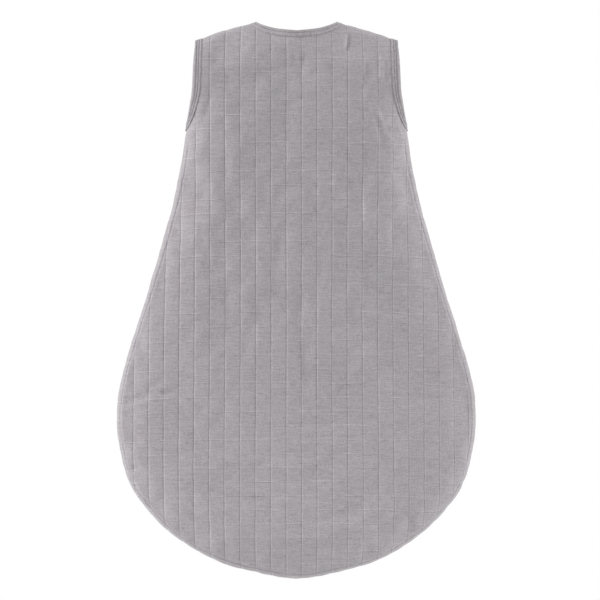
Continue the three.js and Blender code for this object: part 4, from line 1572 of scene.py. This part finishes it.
def round_edges(obj, width, segments=3, angle=50):
    """Soften every sharp edge."""
    make_active(obj)
    bevel = obj.modifiers.new("rounded", "BEVEL")
    bevel.width = width * MM
    bevel.segments = segments
    bevel.limit_method = "ANGLE"
    bevel.angle_limit = math.radians(angle)
    bpy.ops.object.modifier_apply(modifier=bevel.name)
    bpy.ops.object.shade_smooth_by_angle(angle=math.radians(40))


def cut_out(obj, cutter):
    """Cut one piece's shape out of another."""
    make_active(obj)
    boolean = obj.modifiers.new("cut", "BOOLEAN")
    boolean.operation = "DIFFERENCE"
    boolean.solver = "EXACT"
    boolean.object = cutter
    bpy.ops.object.modifier_apply(modifier=boolean.name)
    bpy.data.objects.remove(cutter, do_unlink=True)


def make_wing(name, y, spare):
    """One wing of the slider: wide and round at the mouth, narrower at the foot."""
    top, foot = SLIDER_Z + SLIDER_HALF_LENGTH - spare, SLIDER_Z - SLIDER_HALF_LENGTH + spare
    wing = start_box(name, (-SLIDER_TOP_HALF, y[0], foot), (SLIDER_TOP_HALF, y[1], top))
    squeeze = SLIDER_FOOT_HALF / SLIDER_TOP_HALF
    shape(wing, "FACE", lambda m, n: n.z < -0.9, bpy.ops.transform.resize, value=(squeeze, 1, 1),
          center_override=(0, (y[0] + y[1]) / 2 * MM, foot * MM))
    round_corners(wing, 1, lambda m: m.z > SLIDER_Z, 2.7, 7)
    round_corners(wing, 1, lambda m: m.z < SLIDER_Z - 5, 1.6, 5)
    return wing


def make_slider():
    """Two wings joined by a post, with a flange down each side of the upper one."""
    upper = make_wing("zip_slider", UPPER_WING, 0)
    shape(upper, "FACE", lambda m, n: n.y > 0.9, bpy.ops.mesh.inset, thickness=1.1 * MM, depth=0)
    shape(upper, "FACE", lambda m, n: n.y > 0.9 and abs(m.x) < 0.5 and abs(m.z - SLIDER_Z) < 1,
          bpy.ops.transform.translate, value=(0, 0.12 * MM, 0))
    round_edges(upper, 0.4)
    lower = make_wing("lower_wing", LOWER_WING, 0.4)
    round_edges(lower, 0.35)
    under_wing = UPPER_WING[0] + 0.2
    post = start_box("post", (-0.5, LOWER_WING[1] - 0.2, SLIDER_Z), (0.5, under_wing, SLIDER_Z + 5))
    round_corners(post, 1, anywhere, 0.3, 3)
    flanges = []
    for wearer_side in SIDES.values():
        x = sorted((wearer_side * (TEETH_HALF + 0.3), wearer_side * (TEETH_HALF + 1.05)))
        flange = start_box("flange", (x[0], 23.3, SLIDER_Z - SLIDER_HALF_LENGTH + 2),
                           (x[1], under_wing, SLIDER_Z + SLIDER_HALF_LENGTH - 3.4))
        round_edges(flange, 0.2, 2)
        flanges.append(flange)
    make_active(upper, lower, post, *flanges)
    bpy.ops.object.join()
    return upper


def make_crown():
    """The bridge that carries the pull tab's eye: a bar with a leg drawn down at each end."""
    leg_in, leg_out, leg_foot = 3.6, 4.7, UPPER_WING[1] + 0.02
    low, high = BRIDGE_Y
    crown = start_box("slider_bridge", (-BRIDGE_HALF_WIDTH, low, SLIDER_Z - leg_in),
                      (BRIDGE_HALF_WIDTH, high, SLIDER_Z + leg_in))
    for way in (1, -1):
        push_out(crown, lambda m, n: n.z * way > 0.9, (0, 0, way * (leg_out - leg_in)))
        push_out(crown, lambda m, n: n.y < -0.9 and (m.z - SLIDER_Z) * way > leg_in, (0, leg_foot - low, 0))
    round_corners(crown, 0, lambda m: m.y > 30 and abs(m.z - SLIDER_Z) > leg_out - 0.1, 1.0, 5)
    round_edges(crown, 0.22, 3, 35)
    return crown


def make_pull_tab():
    """A flat tab with a window for the bridge, a sunk face and a round hole at its foot."""
    top, foot = SLIDER_Z + EYE_RADIUS, SLIDER_Z - TAB_LENGTH
    low, high = PIVOT_Y - EYE_RADIUS, PIVOT_Y + EYE_RADIUS
    tab = start_box("zip_pull", (-TAB_HALF_WIDTH, low, foot), (TAB_HALF_WIDTH, high, top))
    round_corners(tab, 1, lambda m: m.z < foot + 1, TAB_HALF_WIDTH - 0.1, 10)
    round_corners(tab, 1, lambda m: m.z > top - 1, 1.1, 4)
    window_top = SLIDER_Z - EYE_RADIUS
    cut_out(tab, start_box("window", (-2.1, low - 1, window_top - 6.6), (2.1, high + 1, window_top)))
    for y in ((low - 1, low + 0.28), (high - 0.28, high + 1)):
        recess = start_box("recess", (-2.6, y[0], foot + 8), (2.6, y[1], window_top - 9))
        round_corners(recess, 1, anywhere, 1.4, 5)
        cut_out(tab, recess)
    bpy.ops.object.select_all(action="DESELECT")
    bpy.ops.mesh.primitive_cylinder_add(
        vertices=28, radius=1.5 * MM, depth=6 * MM, location=(0, PIVOT_Y * MM, (foot + 4) * MM),
        rotation=(math.pi / 2, 0, 0))
    cut_out(tab, settle_transform())
    round_edges(tab, 0.3)
    return tab


def make_stop(name, x, z):
    """A clamped metal stop: a rounded block pinched at its middle."""
    stop = start_box(name, (x[0], STOP_Y[0], z[0]), (x[1], STOP_Y[1], z[1]))
    shape(stop, "FACE", lambda m, n: n.y > 0.9, bpy.ops.mesh.inset, thickness=0.5 * MM, depth=-0.25 * MM)
    round_edges(stop, 0.3, 3, 40)
    return stop


def make_tooth():
    """One turn of the coil: two legs of nylon wire joined by a round head."""
    wire, leg, head_x = 0.33, 2.5, 0.35
    lower, upper = COIL_Y
    middle = (lower + upper) / 2
    bpy.ops.object.select_all(action="DESELECT")
    bpy.ops.mesh.primitive_circle_add(
        vertices=6, radius=wire * MM, fill_type="NOTHING", location=(head_x * MM, upper * MM, 0),
        rotation=(0, math.pi / 2, 0))
    tooth = settle_transform()
    tooth.name = "coil_turn"
    bpy.ops.object.mode_set(mode="EDIT")
    bpy.ops.mesh.select_all(action="SELECT")
    bpy.ops.mesh.spin(steps=4, angle=math.pi, center=(head_x * MM, middle * MM, 0), axis=(0, 0, 1))
    bpy.ops.mesh.extrude_region_move(TRANSFORM_OT_translate={"value": (leg * MM, 0, 0)})
    bpy.ops.mesh.select_all(action="DESELECT")
    bpy.ops.object.mode_set(mode="OBJECT")
    return tooth


def coil_turns(tooth, wearer_side):
    """Every turn of one side's coil, copied from the first down the tape and leaning a little."""
    base = np.array([v.co[:] for v in tooth.data.vertices]) / MM
    faces = [list(p.vertices) for p in tooth.data.polygons]
    base[:, 2] += 0.12 * (base[:, 1] - sum(COIL_Y) / 2)
    base[:, 0] *= wearer_side
    start = TEETH_TOP - 0.6 - (COIL_PITCH / 2 if wearer_side > 0 else 0)
    count = int((start - TEETH_FOOT - 0.5) / COIL_PITCH) + 1
    return joined([(base + (0, 0, start - k * COIL_PITCH), faces) for k in range(count)])


# ---------------------------------------------------------------- stage
def make_floor():
    """A pale paper floor below the hem."""
    bpy.ops.mesh.primitive_circle_add(
        vertices=96, radius=FLOOR_RADIUS, fill_type="NGON", location=(0, 0, FLOOR_Z))
    floor = settle_transform()
    floor.name = "floor"
    paper, _, _ = node_material("floor_paper", {"Base Color": (0.86, 0.86, 0.86, 1), "Roughness": 0.9})
    put_material(floor, paper)
    floor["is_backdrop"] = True


def make_surround(scene):
    """A world that the camera sees as white, and that lights the bag more softly."""
    world = bpy.data.worlds.new("studio")
    scene.world = world
    world.use_nodes = True
    tree = world.node_tree
    tree.nodes.clear()
    output = tree.nodes.new("ShaderNodeOutputWorld")
    mix = tree.nodes.new("ShaderNodeMixShader")
    path = tree.nodes.new("ShaderNodeLightPath")
    tree.links.new(path.outputs["Is Camera Ray"], mix.inputs[0])
    for socket, strength in ((1, WORLD_LIGHT), (2, 1.0)):
        background = tree.nodes.new("ShaderNodeBackground")
        background.inputs[0].default_value = (1, 1, 1, 1)
        background.inputs[1].default_value = strength
        tree.links.new(background.outputs[0], mix.inputs[socket])
    tree.links.new(mix.outputs[0], output.inputs[0])


def make_lights(scene):
    """Large soft lights, all turned to the middle of the bag."""
    for name, place, size, power in LIGHTS:
        data = bpy.data.lights.new(name, "AREA")
        data.shape = "RECTANGLE"
        data.size, data.size_y = size
        data.energy = power
        light = bpy.data.objects.new(name, data)
        light.location = place
        light.rotation_euler = (Vector(BAG_MIDDLE) - light.location).to_track_quat("-Z", "Y").to_euler()
        scene.collection.objects.link(light)


def make_camera(scene):
    """A camera far off, square to the back."""
    data = bpy.data.cameras.new("camera")
    data.sensor_width = SENSOR_WIDTH
    data.lens = SENSOR_WIDTH * CAMERA_DISTANCE / VIEW_WIDTH
    data.clip_end = 50
    camera = bpy.data.objects.new("camera", data)
    camera.location = (CAMERA_X, -CAMERA_DISTANCE, CAMERA_Z)
    camera.rotation_euler = (math.pi / 2, 0, 0)
    scene.collection.objects.link(camera)
    scene.camera = camera
    scene.view_settings.view_transform = "Standard"


# ---------------------------------------------------------------- operators
class BAG_OT_stage(bpy.types.Operator):
    """Set up the floor, the lights and the camera"""

    bl_idname = "sleeping_bag.stage"
    bl_label = "Stage"

    def execute(self, context):
        make_floor()
        make_surround(context.scene)
        make_lights(context.scene)
        make_camera(context.scene)
        return {"FINISHED"}


class BAG_OT_settle(bpy.types.Operator):
    """Let the back and the front hang, to find how their cloth moves"""

    bl_idname = "sleeping_bag.settle"
    bl_label = "Let the cloth hang"

    def execute(self, context):
        for side in (BACK, FRONT):
            DRAPE[side] = settle_panel(side)
        return {"FINISHED"}


class BAG_OT_outer_cloth(bpy.types.Operator):
    """Cut, roll and crease the outer muslin: the back and the two fronts"""

    bl_idname = "sleeping_bag.outer_cloth"
    bl_label = "Outer cloth"

    def execute(self, context):
        sizes, colours = context.scene.bag_sizes, context.scene.bag_colours
        muslin = muslin_material("muslin", colours.muslin, sizes)
        columns, rows = rib_columns(sizes), np.arange(CLOTH_FOOT, CLOTH_TOP, sizes.row_height / MM)
        thickness = sizes.cloth_thickness / MM
        for name, node, side, outline in layer_cuts("cloth", "panel", ZIP_HALF_SLOT, SLOT_FOOT, OUTLINE_STEP):
            relief = outer_relief(sizes, side)
            panel = make_panel(name, side, outline, columns, rows, 0, thickness, relief, EDGE_INSETS)
            finish_piece(panel, muslin, "bag", "muslin", node)
        return {"FINISHED"}


class BAG_OT_lining(bpy.types.Operator):
    """Make the inner muslin"""

    bl_idname = "sleeping_bag.lining"
    bl_label = "Lining"

    def execute(self, context):
        sizes, colours = context.scene.bag_sizes, context.scene.bag_colours
        muslin = muslin_material("lining_muslin", colours.lining, sizes, 0.7)
        columns = np.arange(-CLOTH_HALF_WIDTH, CLOTH_HALF_WIDTH, sizes.rib_pitch / MM / 4)
        rows = np.arange(CLOTH_FOOT, CLOTH_TOP, LINING_ROW)
        thickness, relief = sizes.lining_thickness / MM, lining_relief(sizes)
        cuts = layer_cuts("lining_cloth", "lining", LINING_HALF_SLOT, LINING_SLOT_FOOT, LINING_OUTLINE_STEP)
        for name, node, side, outline in cuts:
            panel = make_panel(name, side, outline, columns, rows, LINING_DEPTH, thickness, relief)
            finish_piece(panel, muslin, "bag", "lining", node)
        return {"FINISHED"}


class BAG_OT_bindings(bpy.types.Operator):
    """Fold the bindings over the neck and the armholes, and topstitch them"""

    bl_idname = "sleeping_bag.bindings"
    bl_label = "Bindings"

    def execute(self, context):
        sizes, colours = context.scene.bag_sizes, context.scene.bag_colours
        thread = thread_material("sewing_thread", colours.thread)
        insets = {"neck": NECK_STITCH_INSETS, "armhole": ARMHOLE_STITCH_INSETS}
        jobs = [("neck", "neck", 1, "neck_binding")]
        for name, wearer_side in SIDES.items():
            jobs.append((f"armhole_{name}", "armhole", wearer_side, f"armhole_binding_{name}"))
        cloths = {}
        for label, kind, wearer_side, node in jobs:
            rows = stitch_shares(insets[kind])
            band, places = make_band(f"{label}_band", kind, wearer_side, rows, sizes)
            if kind not in cloths:
                colour = [c * 0.97 for c in colours.muslin]
                cloths[kind] = muslin_material(f"{kind}_binding_muslin", colour, sizes, 0.0, places)
            finish_piece(band, cloths[kind], "bag", "binding", node)
            stitches = band_stitches(f"{label}_stitches", kind, wearer_side, rows, sizes)
            finish_piece(stitches, thread, "bag", "binding")
        return {"FINISHED"}


class BAG_OT_seams(bpy.types.Operator):
    """Overlock the cut edges inside the side, hem and shoulder seams, and topstitch the edge and the zip"""

    bl_idname = "sleeping_bag.seams"
    bl_label = "Seams"

    def execute(self, context):
        sizes, colours = context.scene.bag_sizes, context.scene.bag_colours
        cloth = muslin_material("seam_muslin", colours.lining, sizes, 0.0)
        thread = thread_material("overlock_thread", [c * 1.15 for c in colours.lining])
        jobs = [("hem_allowance", "hem", 1, "hem_seam")]
        for name, wearer_side in SIDES.items():
            jobs.append((f"side_allowance_{name}", "side", wearer_side, f"side_seam_{name}"))
            jobs.append((f"shoulder_allowance_{name}", "shoulder", wearer_side, f"shoulder_seam_{name}"))
        for label, kind, wearer_side, node in jobs:
            strip, threads = make_allowance(label, kind, wearer_side)
            finish_piece(strip, cloth, "bag", "seam_allowance", node)
            finish_piece(threads, thread, "bag", "seam_allowance")
        topstitch = thread_material("topstitch_thread", colours.thread)
        finish_piece(seam_stitches("edge_topstitches", sizes), topstitch, "bag", "muslin")
        finish_piece(zip_stitches("zip_topstitches", sizes), topstitch, "bag", "muslin")
        return {"FINISHED"}


class BAG_OT_zip(bpy.types.Operator):
    """Build the zip: tapes, coils and stops"""

    bl_idname = "sleeping_bag.zip"
    bl_label = "Zip"

    def execute(self, context):
        colours = context.scene.bag_colours
        weave = tape_material("zip_tape_weave", colours.tape)
        nylon = plastic_material("coil_nylon", colours.coil)
        metal = metal_material("stop_metal", colours.metal)
        tooth = make_tooth()
        for name, way in SIDES.items():
            tape = make_tape(f"woven_tape_{name}", way)
            finish_piece(tape, weave, "bag", "zip_tape", f"zip_tape_{name}")
            coil = outward_object(f"zip_coil_{name}", *coil_turns(tooth, way))
            finish_piece(coil, nylon, "bag", "zip_coil", f"zip_teeth_{name}")
            x = sorted((way * CHAIN_HALF_GAP, way * STOP_HALF))
            stop = make_stop(f"top_clamp_{name}", x, (TEETH_TOP + 0.3, TEETH_TOP + 2.9))
            finish_piece(stop, metal, "bag", "zip_metal", f"zip_top_stop_{name}")
        bpy.data.objects.remove(tooth, do_unlink=True)
        stop = make_stop("foot_clamp", (-STOP_HALF, STOP_HALF), (TEETH_FOOT - 2.9, TEETH_FOOT - 0.3))
        finish_piece(stop, metal, "bag", "zip_metal", "zip_bottom_stop")
        return {"FINISHED"}


class BAG_OT_slider(bpy.types.Operator):
    """Build the zip's slider, its bridge and its pull tab"""

    bl_idname = "sleeping_bag.slider"
    bl_label = "Slider"

    def execute(self, context):
        metal = metal_material("slider_metal", context.scene.bag_colours.metal)
        finish_piece(make_slider(), metal, "slider", "zip_metal", "slider_body")
        finish_piece(make_crown(), metal, "slider", "zip_metal", "slider_crown")
        finish_piece(make_pull_tab(), metal, "pull_tab", "zip_metal", "pull_tab")
        return {"FINISHED"}


class BAG_OT_guard_and_labels(bpy.types.Operator):
    """Sew in the zip's guard and garage, and the two blank labels"""

    bl_idname = "sleeping_bag.guard_and_labels"
    bl_label = "Guard and labels"

    def execute(self, context):
        sizes, colours = context.scene.bag_sizes, context.scene.bag_colours
        lining = muslin_material("guard_muslin", colours.lining, sizes, 0.6)
        muslin = muslin_material("garage_muslin", colours.muslin, sizes, 0.0)
        ribbon = ribbon_material("label_ribbon", colours.label)
        finish_piece(make_guard(), lining, "bag", "lining", "zip_guard")
        finish_piece(make_garage(), muslin, "bag", "muslin", "zip_garage")
        finish_piece(make_neck_label(), ribbon, "bag", "label", "neck_label")
        finish_piece(make_care_label(), ribbon, "bag", "label", "care_label")
        return {"FINISHED"}


class BAG_PT_panel(bpy.types.Panel):
    """Buttons that build the sleeping bag piece by piece"""

    bl_idname = "BAG_PT_panel"
    bl_label = "Sleeping Bag"
    bl_space_type = "VIEW_3D"
    bl_region_type = "UI"
    bl_category = "Sleeping Bag"

    def draw(self, context):
        for operator in OPERATORS:
            self.layout.operator(operator.bl_idname)


OPERATORS = (
    BAG_OT_stage, BAG_OT_settle, BAG_OT_outer_cloth, BAG_OT_lining, BAG_OT_bindings, BAG_OT_seams,
    BAG_OT_zip, BAG_OT_slider, BAG_OT_guard_and_labels,
)
CLASSES = (BagSizes, BagColours, *OPERATORS, BAG_PT_panel)


def register():
    for cls in CLASSES:
        bpy.utils.register_class(cls)
    bpy.types.Scene.bag_sizes = bpy.props.PointerProperty(type=BagSizes)
    bpy.types.Scene.bag_colours = bpy.props.PointerProperty(type=BagColours)


def unregister():
    del bpy.types.Scene.bag_sizes
    del bpy.types.Scene.bag_colours
    for cls in reversed(CLASSES):
        bpy.utils.unregister_class(cls)


def main():
    register()
    for operator in OPERATORS:
        group, name = operator.bl_idname.split(".")
        getattr(getattr(bpy.ops, group), name)()
    boxes = {"cad": CAD_BOX, "visual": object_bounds()}
    {key: [list(map(float, corner)) for corner in pair] for key, pair in boxes.items()}


if __name__ == "__main__":
    main()
